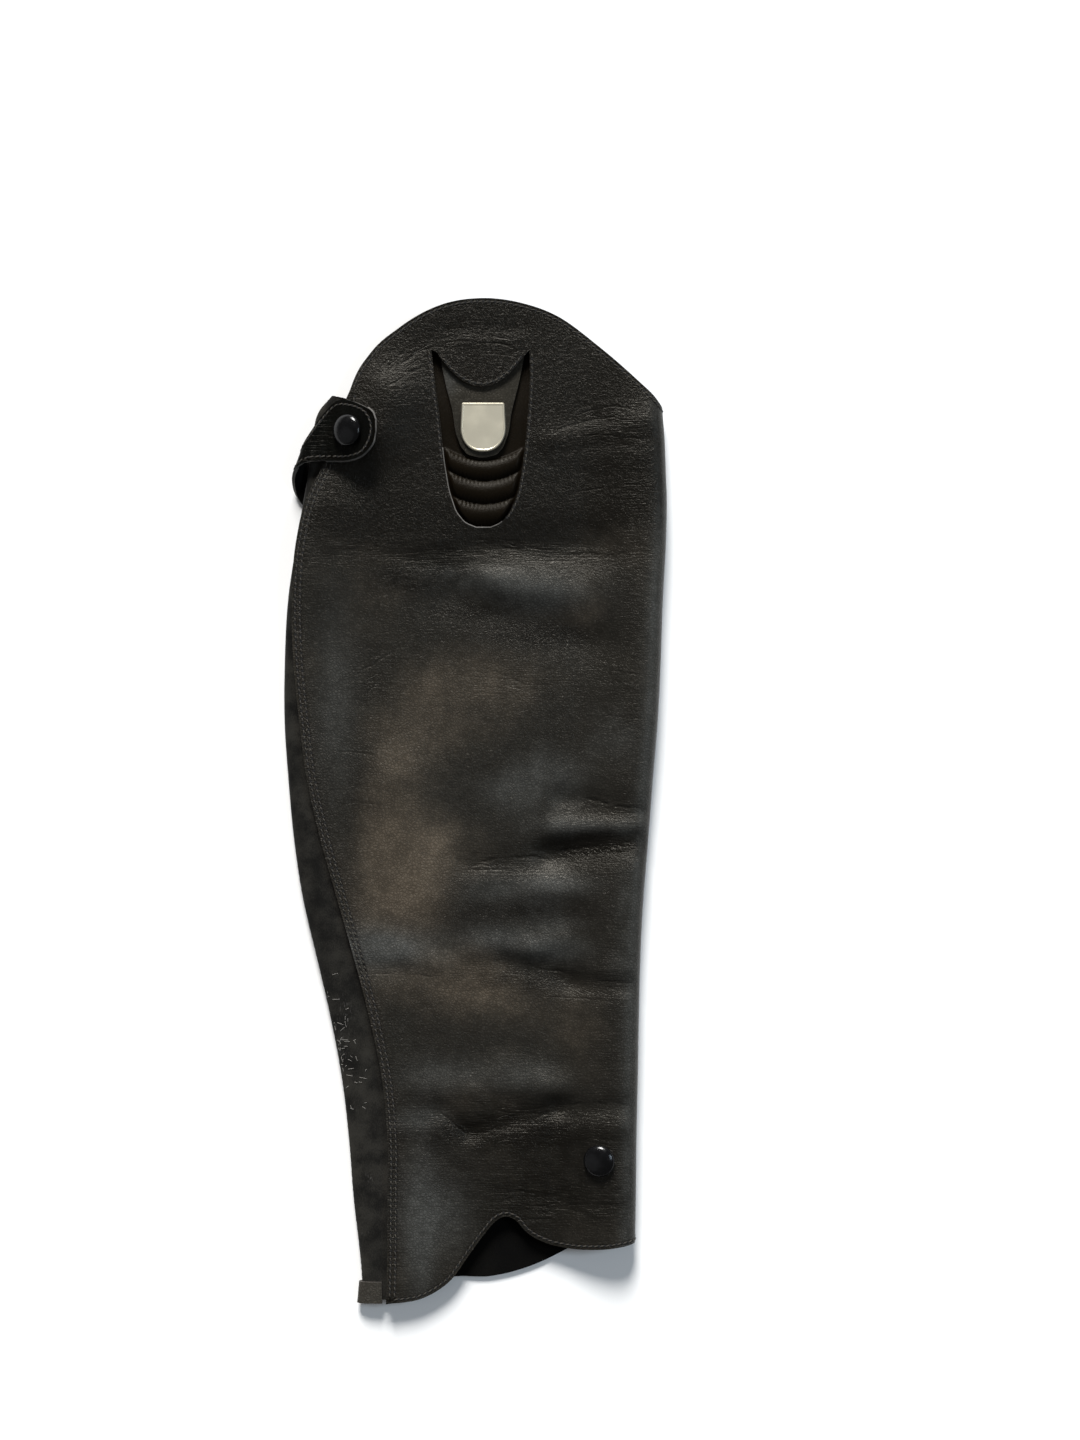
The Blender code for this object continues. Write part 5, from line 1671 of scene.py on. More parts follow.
@dataclass
class LeatherBody:
    """The one piece of leather that wraps the shin, with the badge's hole."""

    form: LegForm
    finishes: Finishes
    sewing: Sewing
    face_columns: int = 104
    fold_columns: int = 14
    under_columns: int = 30
    rows: int = 270
    flat: tuple[float, float] = (0.335, 0.478)
    area: float = 0.134
    face_reach: float = 2.4
    crinkle_all_over: float = 0.13
    far_off: float = 99.0

    def build(self) -> Piece:
        """Builds the leather and its sewing.

        Returns:
            The leather.
        """
        s = np.concatenate(
            [
                np.linspace(0, 1, self.face_columns, endpoint=False),
                np.linspace(1, 2, self.fold_columns, endpoint=False),
                np.linspace(2, 3, self.under_columns + 1),
            ]
        )
        low = self.form.cut_edge(s, top=False)
        high = self.form.cut_edge(s, top=True)
        y = lerp(low[None], high[None], np.linspace(0, 1, self.rows + 1)[:, None])
        points = self.form.body(np.broadcast_to(s[None], y.shape), y)
        piece = sheet_piece("leather", points, self.form.leather, self.finishes.sheet)
        self.cut_hole(piece)
        self.mark(piece)
        attach(piece, Slot.LEATHER, "leather_body")
        self.sew()
        return piece

    def hole_outline(self) -> Array:
        """Makes the hole's outline: down the right side, up the left, along the smile.

        Returns:
            Places seen from above.
        """
        share = np.linspace(0, 1, 40) ** 1.6
        y = lerp(HOLE_SIDES[0].y, HOLE_SIDES[-1].y, share)
        right = np.stack([self.form.hole_right(y), y], axis=1)[::-1]
        left = np.stack([self.form.hole_left(y), y], axis=1)
        x = np.linspace(-18.2, 22.0, 40)
        curve = np.stack([x, self.form.smile(x)], axis=1)
        return np.vstack([right, left, curve])

    def cut_hole(self, piece: Piece) -> None:
        """Cuts the badge's hole through the upper face.

        Args:
            piece: The leather.
        """
        outline = self.hole_outline()
        low = float(self.form.lift(self.form.smile_x, 150.0)) + self.form.leather + 1.0
        mesh = bpy.data.meshes.new("hole")
        shape = bmesh.new()
        rim = [shape.verts.new(Vector((x, y, low)) * MM) for x, y in outline]
        floor = shape.faces.new(rim)
        top = bmesh.ops.extrude_face_region(shape, geom=[floor])
        raised = [item for item in top["geom"] if isinstance(item, bmesh.types.BMVert)]
        bmesh.ops.translate(shape, verts=raised, vec=(0, 0, (30.0 - low) * MM))
        bmesh.ops.recalc_face_normals(shape, faces=shape.faces)
        shape.to_mesh(mesh)
        shape.free()
        tool = add_piece("hole", mesh)
        dress(tool, self.finishes.raw)
        cut = piece.modifiers.new("hole", "BOOLEAN")
        cut.operation = "DIFFERENCE"
        cut.solver = "EXACT"
        cut.material_mode = "TRANSFER"
        cut.object = tool
        settle(piece)
        bpy.data.objects.remove(tool)
        bpy.data.meshes.remove(mesh)

    def mark(self, piece: Piece) -> None:
        """Stores where the creases, seams, tones and wear are, and where highlights and shade are painted.

        Args:
            piece: The leather.
        """
        points = points_of(piece)
        x, y, z = points.T
        upper = z > self.form.face_height(np.minimum(x, self.form.fold_start(y)), y) - self.face_reach
        gap, depth = crease_field(x, y)
        share = np.where(upper, 1.0, 0.0)
        store(piece, "crease_gap", gap)
        store(piece, "crease_depth", depth * share)
        from_seam, from_shin = x - self.form.calf_seam(y), x - self.form.shin(y)
        beside = 0.35 * bell(from_seam, 0, 11) + 0.4 * bell(from_shin, -16, 8)
        crinkle = patches(CRINKLES, x, y) + beside + self.crinkle_all_over
        store(piece, "crinkle", np.clip(crinkle, 0, 1) * share)
        # Painted highlights: the sheen patches, and a band just inside the shin fold, lighten the colour
        # towards grey.
        sheen = patches(PAINTED_SHEEN, x, y) * share + bell(from_shin, -4, 4) * 0.6
        store(piece, "tone", np.clip(patches(TONES, x, y) * share, -1.2, 1.2))
        store(piece, "sheen", np.clip(sheen, 0, 1))
        store(piece, "wear", np.clip(patches(WEAR, x, y) * share + sheen * 0.35, 0, 1))
        # Darker leather, and painted shade in troughs and on slopes turned from the light.
        store(piece, "deep", np.clip(patches(DARKER_AND_PAINTED_SHADE, x, y) * share, 0, 1))
        store(piece, "calf_gap", np.clip(np.where(upper, from_seam, self.far_off), -1, 40))
        store(piece, "calf_along", y)
        edge_gap, edge_along = self.edge_field(x, y, z)
        store(piece, "edge_gap", edge_gap)
        store(piece, "edge_along", edge_along)

    def edge_field(self, x: Array, y: Array, z: Array) -> tuple[Array, Array]:
        """Measures how far each point lies from the nearest cut edge, and where along it.

        Args:
            x: Places across the leg.
            y: Places along the leg.
            z: Heights.

        Returns:
            The distances, and the places along the edge.
        """
        form = self.form
        s = np.linspace(0, 3, 700)
        best = np.full(len(x), self.far_off)
        place = np.zeros(len(x))
        edges = (form.outer_top, form.outer_hem, form.inner_top, form.inner_hem)
        near = np.min([np.abs(y - edge(x)) for edge in edges], axis=0)
        chosen = np.nonzero(near < 30)[0]
        cloud = np.stack([x, y, z], axis=1)[chosen]
        for top in (True, False):
            line = form.body(s, form.cut_edge(s, top))
            which = nearest(cloud, line)
            gap = np.linalg.norm(cloud - line[which], axis=1)
            better = gap < best[chosen]
            best[chosen[better]] = gap[better]
            place[chosen[better]] = run_along(line)[which[better]]
        return best, place

    def sew(self) -> None:
        """Sews the top, the hem, the calf seam, the zip seam and round the badge's hole."""
        sewing = self.sewing
        form = self.form
        edges = [sewing.edge_run(True, 0.02, 2.97), sewing.edge_run(False, 0.03, 2.97)]
        sewing.row("stitches_edges", edges)
        seam = [sewing.seam_run(1.7, -236.0, 190.0), sewing.seam_run(4.0, -236.0, 192.0)]
        sewing.row("stitches_calf_seam", seam)
        run = sewing.under_run(form.leather_zip_edge + 1.8, np.zeros_like, -229.0, 176.0)
        sewing.row("stitches_zip_seam", [run])
        y_left = np.linspace(214.0, 162.0, 60)
        y_right = np.linspace(213.0, 134.5, 90)
        x_smile = np.linspace(-15.6, 21.6, 60)
        sides = [
            (form.hole_left(y_left) - 1.1, y_left),
            (form.hole_right(y_right) + 1.1, y_right),
            (x_smile, form.smile(x_smile) + 1.2),
        ]
        runs = [(form.face(x, y), normals_of(form.face, x, y, 0.3)) for x, y in sides]
        sewing.row("stitches_badge", runs, 2.9)


def crease_field(x: Array, y: Array) -> tuple[Array, Array]:
    """Measures how far each point lies from the nearest crease, in crease widths.

    Args:
        x: Places across the leg.
        y: Places along the leg.

    Returns:
        The signed distance in widths, and that crease's depth, fading to its ends.
    """
    best = np.full(np.shape(x), 9.0)
    depth = np.zeros(np.shape(x))
    for crease in CREASES:
        run_x, run_y = crease.x1 - crease.x0, crease.y1 - crease.y0
        length = math.hypot(run_x, run_y)
        along = ((x - crease.x0) * run_x + (y - crease.y0) * run_y) / length ** 2
        off = ((y - crease.y0) * run_x - (x - crease.x0) * run_y) / length
        held = np.clip(along, 0, 1)
        off = off - crease.bow * 4 * held * (1 - held)
        beyond = np.maximum(np.maximum(-along, along - 1), 0) * length
        gap = np.sign(off + 1e-9) * np.hypot(off, beyond) / crease.width
        fade = smoothstep(held * 5) * smoothstep((1 - held) * 5)
        nearer = np.abs(gap) < np.abs(best)
        best = np.where(nearer, gap, best)
        depth = np.where(nearer, crease.depth * fade, depth)
    return best, depth


@dataclass
class CalfSide:
    """The suede strip round the calf, its end tab and the zip."""

    form: LegForm
    finishes: Finishes
    sewing: Sewing
    solids: dict[str, Piece]
    strip_bottom: float = -237.4
    strip_flat: tuple[float, float] = (0.032, 0.430)
    tab_flat: tuple[float, float] = (0.023, 0.0102)
    zip_top: float = 186.0
    zip_bottom: float = -219.5
    tape_widths: tuple[float, float] = (12.0, 8.0)
    tape_open: float = 2.2
    coil_pitch: float = 1.3
    coil_half: float = 1.45
    coil_high: float = 0.45
    nylon: float = 0.27
    least_flat: float = 10.0
    lint_fibres: int = 46
    lint_thick: float = 0.055

    def build(self) -> None:
        """Builds each piece of the calf side."""
        self.strip()
        self.end_tab()
        self.tape("tape_leather_side", 1, self.tape_widths[0], "zip_tape_leather_side")
        self.tape("tape_gusset_side", -1, self.tape_widths[1], "zip_tape_gusset_side")
        self.coils()
        self.metal_parts()

    def strip(self) -> None:
        """Builds the stretch suede strip, with its scuffs."""
        form = self.form
        g = np.concatenate([np.linspace(0, 1, 20, endpoint=False), np.linspace(1, 2, 16, endpoint=False),
                            np.linspace(2, 3, 14)])
        v = np.linspace(0, 1, 300)[:, None]
        y = lerp(self.strip_bottom, form.gusset_top(g)[None], v)
        grid = np.broadcast_to(g[None], y.shape)
        points = form.gusset(grid, y)
        out = -normals_of(form.gusset, grid, y, 0.01)
        ripple = 0.10 * np.sin(y * 1.9 + 2.2 * np.sin(y * 0.23)) * smoothstep((grid - 0.4) * 4)
        points = points + out * ripple[..., None] * (y < form.end_tab_top + 200)[..., None] * 0.6
        suede = (self.finishes.suede, self.finishes.flesh, self.finishes.raw)
        piece = sheet_piece("suede_strip", points, form.suede, suede, flip=True)
        x, y, _ = points_of(piece).T
        store(piece, "scuff", np.clip(patches(SCUFFS, x, y), 0, 1))
        attach(piece, Slot.SUEDE, "back_gusset")
        aside = -form.gusset_zip_edge - 1.6
        run = self.sewing.under_run(aside, form.gusset_raised, -228.0, 176.0)
        self.sewing.row("stitches_strip", [run])
        self.lint()

    def lint(self) -> None:
        """Scatters a few pale fibres on the scuffed suede."""
        form = self.form
        draw = np.random.default_rng(7)
        points: list[Array] = []
        for _ in range(self.lint_fibres):
            y = draw.normal(-116.0, 15.0)
            g = draw.uniform(0.62, 1.22)
            angle = draw.uniform(0, np.pi)
            length = draw.uniform(0.8, 2.6)
            share = np.linspace(-0.5, 0.5, 5)
            ys = y + share * length * np.cos(angle)
            gs = g + share * length * np.sin(angle) / 16.0
            path = form.gusset(gs, ys) - normals_of(form.gusset, gs, ys, 0.01) * 0.1
            run = np.gradient(path, axis=0)
            side = unit(np.cross(run, [0.0, 0.0, 1.0]))
            up = unit(np.cross(side, run))
            ring = np.stack([side, up, -side, -up], axis=1)
            points.append((path[:, None] + self.lint_thick * ring).reshape(-1, 3))
        faces = np.array(ring_faces(5, 4) + [[3, 2, 1, 0], [16, 17, 18, 19]])
        offsets = np.arange(self.lint_fibres)[:, None, None] * len(points[0])
        piece = mesh_piece("lint", np.vstack(points), (faces[None] + offsets).reshape(-1, 4))
        dress(piece, self.finishes.lint)
        attach(piece, Slot.SUEDE)

    def end_tab(self) -> None:
        """Builds the leather tab over the strip's lower end."""
        form = self.form
        g = np.concatenate([np.linspace(0.62, 1, 10, endpoint=False), np.linspace(1, 2, 24, endpoint=False),
                            np.linspace(2, 2.6, 10)])
        v = np.linspace(0, 1, 14)[:, None]
        bottom = np.where(g <= 1.6, -239.0, -238.2)[None]
        y = lerp(bottom, form.end_tab_top, v)
        grid = np.broadcast_to(g[None], y.shape)
        points = form.gusset(grid, np.maximum(y, self.strip_bottom))
        turn = (np.clip(grid, 1, 2) - 1) * np.pi
        reach = form.end_tab + form.seam_gap
        flare = 1.6 * (1 - v) * np.sin(turn)
        x = np.minimum(points[..., 0], form.calf_seam(y) - form.seam_gap)
        x = x - (reach + flare) * np.sin(turn)
        points = np.stack([x, y, points[..., 2] + reach * np.cos(turn)], axis=-1)
        leather = (self.finishes.tab, self.finishes.flesh, self.finishes.raw)
        piece = sheet_piece("end_tab", points, form.end_tab, leather, flip=True)
        attach(piece, Slot.LEATHER, "gusset_end_tab")

    def tape(self, name: str, side: int, width: float, solid: str) -> None:
        """Builds one zip tape.

        Args:
            name: The piece's name.
            side: 1 for the leather's side, -1 for the strip's.
            width: The tape's width in mm.
            solid: The solid that it stands for.
        """
        form = self.form
        y = np.linspace(self.zip_bottom, self.zip_top, 240)[:, None]
        share = np.linspace(0, 1, 8)[None]
        spread = form.seam_gap + self.tape_open * smoothstep((y - form.slider_y + 3) / 5)
        x = form.zip_line(y) + side * lerp(spread, width, share)
        y = np.broadcast_to(y, x.shape)
        points = np.stack([x, y, form.lift(x, y) + form.leather + form.seam_gap], axis=-1)
        piece = sheet_piece(name, points, form.tape, (self.finishes.tape,), side=side)
        attach(piece, Slot.TAPE, solid)

    def coils(self) -> None:
        """Builds the zip's two nylon coils, meshed below the slider and parted above it."""
        form = self.form
        turns = int((self.zip_top - 4 - self.zip_bottom) / self.coil_pitch)
        steps = 10
        phase = np.arange(turns * steps) / steps
        for side in (-1, 1):
            y = self.zip_bottom + 1 + (phase + (0.25 if side > 0 else -0.25)) * self.coil_pitch
            y = np.clip(y, self.zip_bottom, self.zip_top)
            parted = smoothstep((y - form.slider_y - 1.0) / 6)
            middle = form.zip_line(y) + side * (1.02 + 1.7 * parted)
            x = middle + self.coil_half * np.cos(phase * 2 * np.pi) * side
            z = form.lift(form.zip_line(y), y) + form.seam_gap + 0.75
            z = z + self.coil_high * np.sin(phase * 2 * np.pi)
            path = np.stack([x, y, z], axis=1)
            name = "coil_leather_side" if side > 0 else "coil_strip_side"
            piece = tube_piece(name, path, self.nylon, 5)
            dress(piece, self.finishes.nylon)
            attach(piece, Slot.TEETH, "zip_chain")

    def metal_parts(self) -> None:
        """Finishes the slider, its pull and the retainer box, which stay as solids."""
        for name in ("zip_slider", "zip_pull", "zip_box"):
            finish_solid(self.solids[name], self.finishes.metal, 0.18)


def finish_solid(piece: Piece, material: Material, rounded: float = 0.0) -> None:
    """Gives a solid that stays its finish, and rounds its edges a little.

    Args:
        piece: The solid's object.
        material: Its finish.
        rounded: The rounding in mm, or 0 for none.
    """
    piece.data.materials.clear()
    piece.data.materials.append(material)
    if rounded:
        bevel = piece.modifiers.new("edge", "BEVEL")
        bevel.width = rounded * MM
        bevel.segments = 2
        bevel.limit_method = "ANGLE"
        bevel.angle_limit = math.radians(35)
    LOG.info("%s: solid kept, finished", piece.name)


@dataclass
class Strap:
    """The snapped strap, with its snap."""

    form: LegForm
    finishes: Finishes
    sewing: Sewing
    solids: dict[str, Piece]
    flat: tuple[float, float] = (0.028, 0.092)
    last: int = len(STRAP_ROWS) - 1
    rows: int = 170
    columns: int = 34
    stitch_inset: float = 2.0
    stitch_start: float = 13.4
    stitch_join: float = 2.3
    stitch_end: float = 1.15
    snap_row: float = 3.0
    edge_radius: float = 0.64

    def surface(self, row: Array, share: Array) -> Array:
        """Gives points of the strap's outer side with its fine puckers.

        Args:
            row: Places along the strap, from its snapped end.
            share: 0 at the upper edge to 1 at the lower edge.

        Returns:
            The points.
        """
        points = self.form.strap_face(row, share)
        row, share = np.broadcast_arrays(np.asarray(row, float), np.asarray(share, float))
        fold = bell(row - (share - 0.5) * 1.6, 5.2, 0.5) * -0.5
        puckers = 0.22 * np.sin(row * 9.0 + share * 3.0) * bell(row, 5.4, 1.8)
        puckers = puckers * smoothstep((share - 0.45) * 3)
        points[..., 2] = points[..., 2] + (fold + puckers) * (points[..., 2] > 8.5)
        return points

    def build(self) -> None:
        """Builds the strap, its stitches and its snap."""
        grid = np.swapaxes(self.surface(*self.places()), 0, 1)
        leather = (self.finishes.strap, self.finishes.flesh, self.finishes.pale_raw)
        piece = sheet_piece("strap_leather", grid, self.form.strap, leather)
        self.mark(piece)
        attach(piece, Slot.LEATHER, "strap")
        self.sew()
        self.raw_edge()
        self.snap()

    def places(self) -> list[Array]:
        """Makes the strap's grid, as places along it and shares across it."""
        along, across = np.linspace(0, self.last, self.rows), np.linspace(0, 1, self.columns)
        return np.meshgrid(along, across, indexing="ij")

    def mark(self, piece: Piece) -> None:
        """Stores the strap's creases and its distance from the edge.

        Args:
            piece: The strap.
        """
        rows, shares = self.places()
        grid = self.form.strap_face(rows, shares)
        wide = np.linalg.norm(grid[:, -1] - grid[:, 0], axis=1)[:, None]
        run = run_along(grid[:, self.columns // 2])
        edge = np.minimum(np.minimum(shares, 1 - shares) * wide, run[:, None] + 1.0)
        near = nearest(points_of(piece), grid.reshape(-1, 3))
        gap = edge.ravel()[near]
        store(piece, "edge_gap", gap)
        store(piece, "edge_along", np.repeat(run, self.columns)[near])
        store(piece, "wear", bell(gap, 4.5, 2.0) * 0.4)
        store(piece, "crinkle", bell(rows.ravel()[near], 5.5, 2.0) * 0.8)

    def inset_line(self, rows: Array, lower: bool) -> Array:
        """Gives the shares across the strap where a stitch row lies.

        Args:
            rows: Places along the strap.
            lower: Whether it is the row beside the lower edge.

        Returns:
            The shares.
        """
        face = self.form.strap_face
        across = face(rows, np.zeros_like(rows)) - face(rows, np.ones_like(rows))
        share = self.stitch_inset / np.linalg.norm(across, axis=1)
        return 1 - share if lower else share

    def sew(self) -> None:
        """Sews round the strap's edge and its sewn end."""
        there = np.linspace(self.stitch_start, self.stitch_join, 160)
        back = there[::-1]
        turn = np.linspace(0, np.pi, 40)[1:-1]
        start = float(self.inset_line(np.array([self.stitch_join]), lower=False)[0])
        turn_rows = self.stitch_end + (self.stitch_join - self.stitch_end) * (1 - np.sin(turn))
        turn_shares = 0.5 - (0.5 - start) * np.cos(turn)
        rows = np.concatenate([there, turn_rows, back])
        sides = (self.inset_line(there, lower=False), turn_shares, self.inset_line(back, lower=True))
        shares = np.concatenate(sides)
        run = self.surface(rows, shares), normals_of(self.surface, rows, shares, 0.01)
        self.sewing.row("stitches_strap", [run])

    def raw_edge(self) -> None:
        """Builds the pale fibres that stand out of the rounded end's cut edge, partly a painted highlight on
        the rim that faces the light.
        """
        down, up = np.linspace(4.4, 0.0, 70), np.linspace(0.0, 1.6, 30)
        rows = np.concatenate([down, np.zeros(20), up])
        shares = np.concatenate([np.ones(70), np.linspace(0.99, 0.01, 20), np.zeros(30)])
        path = self.surface(rows, shares)
        path = path - normals_of(self.surface, rows, shares, 0.01) * self.form.strap * 0.5
        piece = tube_piece("strap_edge", path, self.edge_radius, 7)
        dress(piece, self.finishes.pale_raw)
        attach(piece, Slot.LEATHER)

    def snap(self) -> None:
        """Builds the snap's domed cap and finishes its socket and stud."""
        row, share = np.array([self.snap_row]), np.array([0.5])
        origin = self.form.strap_face(row, share)[0]
        run = self.form.strap_face(row + 0.02, share)[0] - origin
        across = self.form.strap_face(row, share + 0.02)[0] - origin
        normal = np.cross(run, across)
        matrix = frame_at(origin, normal, run)
        Cap(self.form, self.finishes).build("strap_cap", matrix, "strap_snap_cap")
        for name in ("strap_snap_socket", "strap_snap_stud"):
            finish_solid(self.solids[name], self.finishes.metal)


def nearest(points: Array, targets: Array) -> Array:
    """Finds which target lies nearest to each point.

    Args:
        points: Points in mm.
        targets: The targets in mm.

    Returns:
        The target's number for each point.
    """
    which = np.empty(len(points), int)
    for start in range(0, len(points), 2000):
        gaps = points[start:start + 2000, None] - targets[None]
        which[start:start + 2000] = np.argmin((gaps ** 2).sum(axis=2), axis=1)
    return which


@dataclass
class Cap:
    """A snap's glossy domed cap."""

    form: LegForm
    finishes: Finishes
    radius: float = 7.5
    height: float = 4.2
    rim: float = 1.2
    shoulder: float = 0.8
    foot: float = 0.6
    seat: float = 4.8

    def build(self, name: str, matrix: Matrix, solid: str) -> Piece:
        """Builds the cap.

        Args:
            name: The piece's name.
            matrix: Its place on the leather, Z outwards.
            solid: The solid that it stands for.

        Returns:
            The cap.
        """
        angles = np.radians(np.concatenate([np.linspace(0, 70, 16), np.linspace(73, 90, 6)]))
        profile = [
            (self.radius * math.sin(a), lerp(self.rim, self.height, max(math.cos(a), 0.0))) for a in angles
        ]
        profile += [(self.radius - 0.12, self.rim - 0.2), (self.radius - self.foot, self.shoulder)]
        profile += [(self.seat, self.foot), (self.seat, 0.0), (0.0, 0.0)]
        piece = turned_piece(name, profile)
        lay_down(piece, matrix @ Matrix.Translation((0, 0, self.form.seam_gap * MM)))
        dress(piece, self.finishes.enamel)
        attach(piece, Slot.ENAMEL, solid)
        return piece


@dataclass
class AnkleSnap:
    """The snap near the hem."""

    form: LegForm
    finishes: Finishes
    solids: dict[str, Piece]
    x: float = 59.0
    y: float = -169.8

    def build(self) -> None:
        """Builds the cap on the leather and finishes the socket under it."""
        x, y = np.array([self.x]), np.array([self.y])
        coarse = LegForm(small_folds=False)
        origin = coarse.face(x, y)[0]
        normal = normals_of(coarse.face, x, y, 0.5)[0]
        matrix = frame_at(origin, normal, np.array([1.0, 0.0, 0.0]))
        Cap(self.form, self.finishes).build("ankle_cap", matrix, "ankle_snap_cap")
        finish_solid(self.solids["ankle_snap_socket"], self.finishes.metal)


@dataclass
class BadgeInset:
    """The padded insert, the tongue and the bare plate behind the hole."""

    form: LegForm
    finishes: Finishes
    sewing: Sewing
    seams: tuple[float, ...] = (130.5, 141.4, 152.4, 162.4)
    rib_x: float = 4.2
    rib_sag: float = 5.7
    rib_reach: float = 18.0
    rib_rise: float = 2.5
    rib_fullness: float = 0.6
    rib_end: float = 3.0
    bottom: float = 126.0
    top: float = 217.0
    pinch: float = 1.9
    pad_beyond: float = 4.5
    pad_fill: float = 0.7
    tongue_x: float = 3.3
    tongue_flat: tuple[float, float] = (0.042, 0.0545)
    tongue_area: float = 0.00172
    plate_x: float = 3.8
    plate_top: float = 189.2
    plate_bottom: float = 166.0
    plate_shoulder: float = 177.4
    plate_half_top: float = 10.2
    plate_half_wide: float = 10.7
    plate_corner: float = 0.9
    plate_insets: tuple[float, ...] = (0, 0, 0.42, 0.95, 1.15)
    plate_heights: tuple[float, ...] = (0, 0.75, 1.2, 1.2, 1.06)

    def rib_height(self, x: Array, y: Array) -> Array:
        """Gives how far the padded ribs stand up.

        Args:
            x: Places across the leg.
            y: Places along the leg.

        Returns:
            The heights, pinched by the stitches along each seam.
        """
        bent = y - self.rib_sag * ((x - self.rib_x) / self.rib_reach) ** 2
        height = np.zeros(np.shape(bent))
        for low, high in zip(self.seams, self.seams[1:]):
            share = np.clip((bent - low) / (high - low), 0, 1)
            near = np.minimum(bent - low, high - bent)
            pinched = 1 - 0.28 * np.cos(x * 2 * np.pi / self.pinch) * bell(near, 0, 1.6)
            rib = self.rib_rise * np.sin(np.pi * share) ** self.rib_fullness * pinched
            height = np.where((bent > low) & (bent < high), rib, height)
        edge = np.minimum(x - self.form.hole_left(y), self.form.hole_right(y) - x)
        return height * smoothstep(edge / self.rib_end)

    def pad_depth(self, x: Array, y: Array) -> Array:
        """Gives how far the pad lies below the leather's face."""
        below = self.form.tongue_depth(y) + self.form.tongue + self.form.lining_gap
        return np.maximum(self.form.leather + self.form.lining_gap, below) - self.rib_height(x, y)

    def build(self) -> None:
        """Builds the pad, the tongue and the plate."""
        self.pad()
        self.tongue()
        self.plate()
        self.rim()

    def pad(self) -> None:
        """Builds the ribbed pad with a plain back."""
        form = self.form
        ribs, above = np.linspace(self.bottom, 170.0, 96), np.linspace(170.6, self.top, 40)[1:]
        y = np.concatenate([ribs, above])[:, None]
        share = np.linspace(0, 1, 78)[None]
        x = lerp(form.hole_left(y) - self.pad_beyond, form.hole_right(y) + self.pad_beyond, share)
        y = np.broadcast_to(y, x.shape)
        upper = form.below_face(x, y, self.pad_depth(x, y))
        back = form.below_face(x, y, self.pad_depth(x, y) + self.rib_height(x, y) + form.pad)
        rows, columns = x.shape
        points = np.vstack([upper.reshape(-1, 3), back.reshape(-1, 3)])
        index = np.arange(rows * columns).reshape(rows, columns)
        quads = [index[:-1, :-1], index[:-1, 1:], index[1:, 1:], index[1:, :-1]]
        top = np.stack(quads, axis=-1).reshape(-1, 4)
        under = top[:, ::-1] + rows * columns
        loop = np.concatenate([index[0, :], index[1:, -1], index[-1, -2::-1], index[-2:0:-1, 0]])
        after = np.roll(loop, -1)
        lower = rows * columns
        sides = np.stack([loop, loop + lower, after + lower, after], axis=-1)
        piece = mesh_piece("ribbed_pad", points, np.vstack([top, under, sides]), crisp=60)
        dress(piece, self.finishes.padded)
        x, y, _ = points_of(piece).T
        store(piece, "wear", np.clip(self.rib_height(x, y) / self.rib_rise, 0, 1) * 0.8)
        store(piece, "tone", np.where(y < 165, 0.25, 0.0))
        attach(piece, Slot.LEATHER, "badge_pad")

    def tongue(self) -> None:
        """Builds the tongue that comes out from under the smile and carries the plate."""
        form = self.form
        ease = np.linspace(0, 1, 30) ** 2
        y = np.concatenate([lerp(163.4, 172.0, ease), np.linspace(172.6, 217.0, 60)])[:, None]
        share = np.linspace(-1, 1, 44)[None]
        x = self.tongue_x + share * form.tongue_half(y)
        y = np.broadcast_to(y, x.shape)
        points = form.below_face(x, y, form.tongue_depth(y))
        leather = (self.finishes.tongue, self.finishes.flesh, self.finishes.raw)
        piece = sheet_piece("tongue", points, form.tongue, leather)
        x, y, _ = points_of(piece).T
        store(piece, "wear", 0.3 + 0.7 * bell(y, 192, 5))
        # Painted highlight: a grey patch on the tongue's left, below the smile, stands in for a soft
        # highlight.
        store(piece, "tone", -0.9 * bell(x, -12, 7) * bell(y, 200, 8))
        attach(piece, Slot.LEATHER, "badge_tongue")

    def outline(self) -> list[tuple[float, float]]:
        """Makes the plate's outline about its own middle: straight top, rounded foot.

        Returns:
            Its points, clockwise from the top's right corner.
        """
        middle = (self.plate_top + self.plate_bottom) / 2
        turn = self.plate_corner
        out, high = self.plate_half_top - turn, self.plate_top - turn
        angles = np.radians(np.linspace(0, 90, 6))
        side = [(out + turn * math.sin(a), high + turn * math.cos(a) - middle) for a in angles]
        for angle in np.radians(np.linspace(0, 87, 28)):
            x = self.plate_half_wide * math.cos(angle) ** 0.85
            deep = (self.plate_shoulder - self.plate_bottom) * math.sin(angle)
            side.append((x, self.plate_shoulder - deep - middle))
        return side + [(0.0, self.plate_bottom - middle)] + [(-x, y) for x, y in reversed(side)]

    def plate(self) -> None:
        """Builds the bare plate: a raised rim, a shallow field and crisp bevels."""
        outline = np.array(self.outline())
        run = np.roll(outline, -1, axis=0) - np.roll(outline, 1, axis=0)
        inward = unit(np.stack([run[:, 1], -run[:, 0]], axis=1))
        count = len(outline)
        rings = [
            np.column_stack([outline + inward * inset, np.full(count, high)])
            for inset, high in zip(self.plate_insets, self.plate_heights)
        ]
        last = (len(rings) - 1) * count
        ends = [list(range(last, last + count))[::-1], list(range(count))]
        faces = [face[::-1] for face in ring_faces(len(rings), count)]
        piece = mesh_piece("plate", np.vstack(rings), faces + ends, crisp=20)
        middle = (self.plate_top + self.plate_bottom) / 2
        coarse = LegForm(small_folds=False)

        def bed(x: Array, y: Array) -> Array:
            """Gives points of the tongue's face."""
            return coarse.below_face(x, y, coarse.tongue_depth(y))

        x, y = np.array([self.plate_x]), np.array([middle])
        origin = bed(x, y)[0]
        first = bed(x + 3.0, y)[0] - origin
        second = bed(x, y + 3.0)[0] - origin
        matrix = frame_at(origin, np.cross(first, second), first)
        lay_down(piece, matrix @ Matrix.Translation((0, 0, self.form.seam_gap * MM)))
        dress(piece, self.finishes.plate)
        attach(piece, Slot.PLATE, "badge_plate")

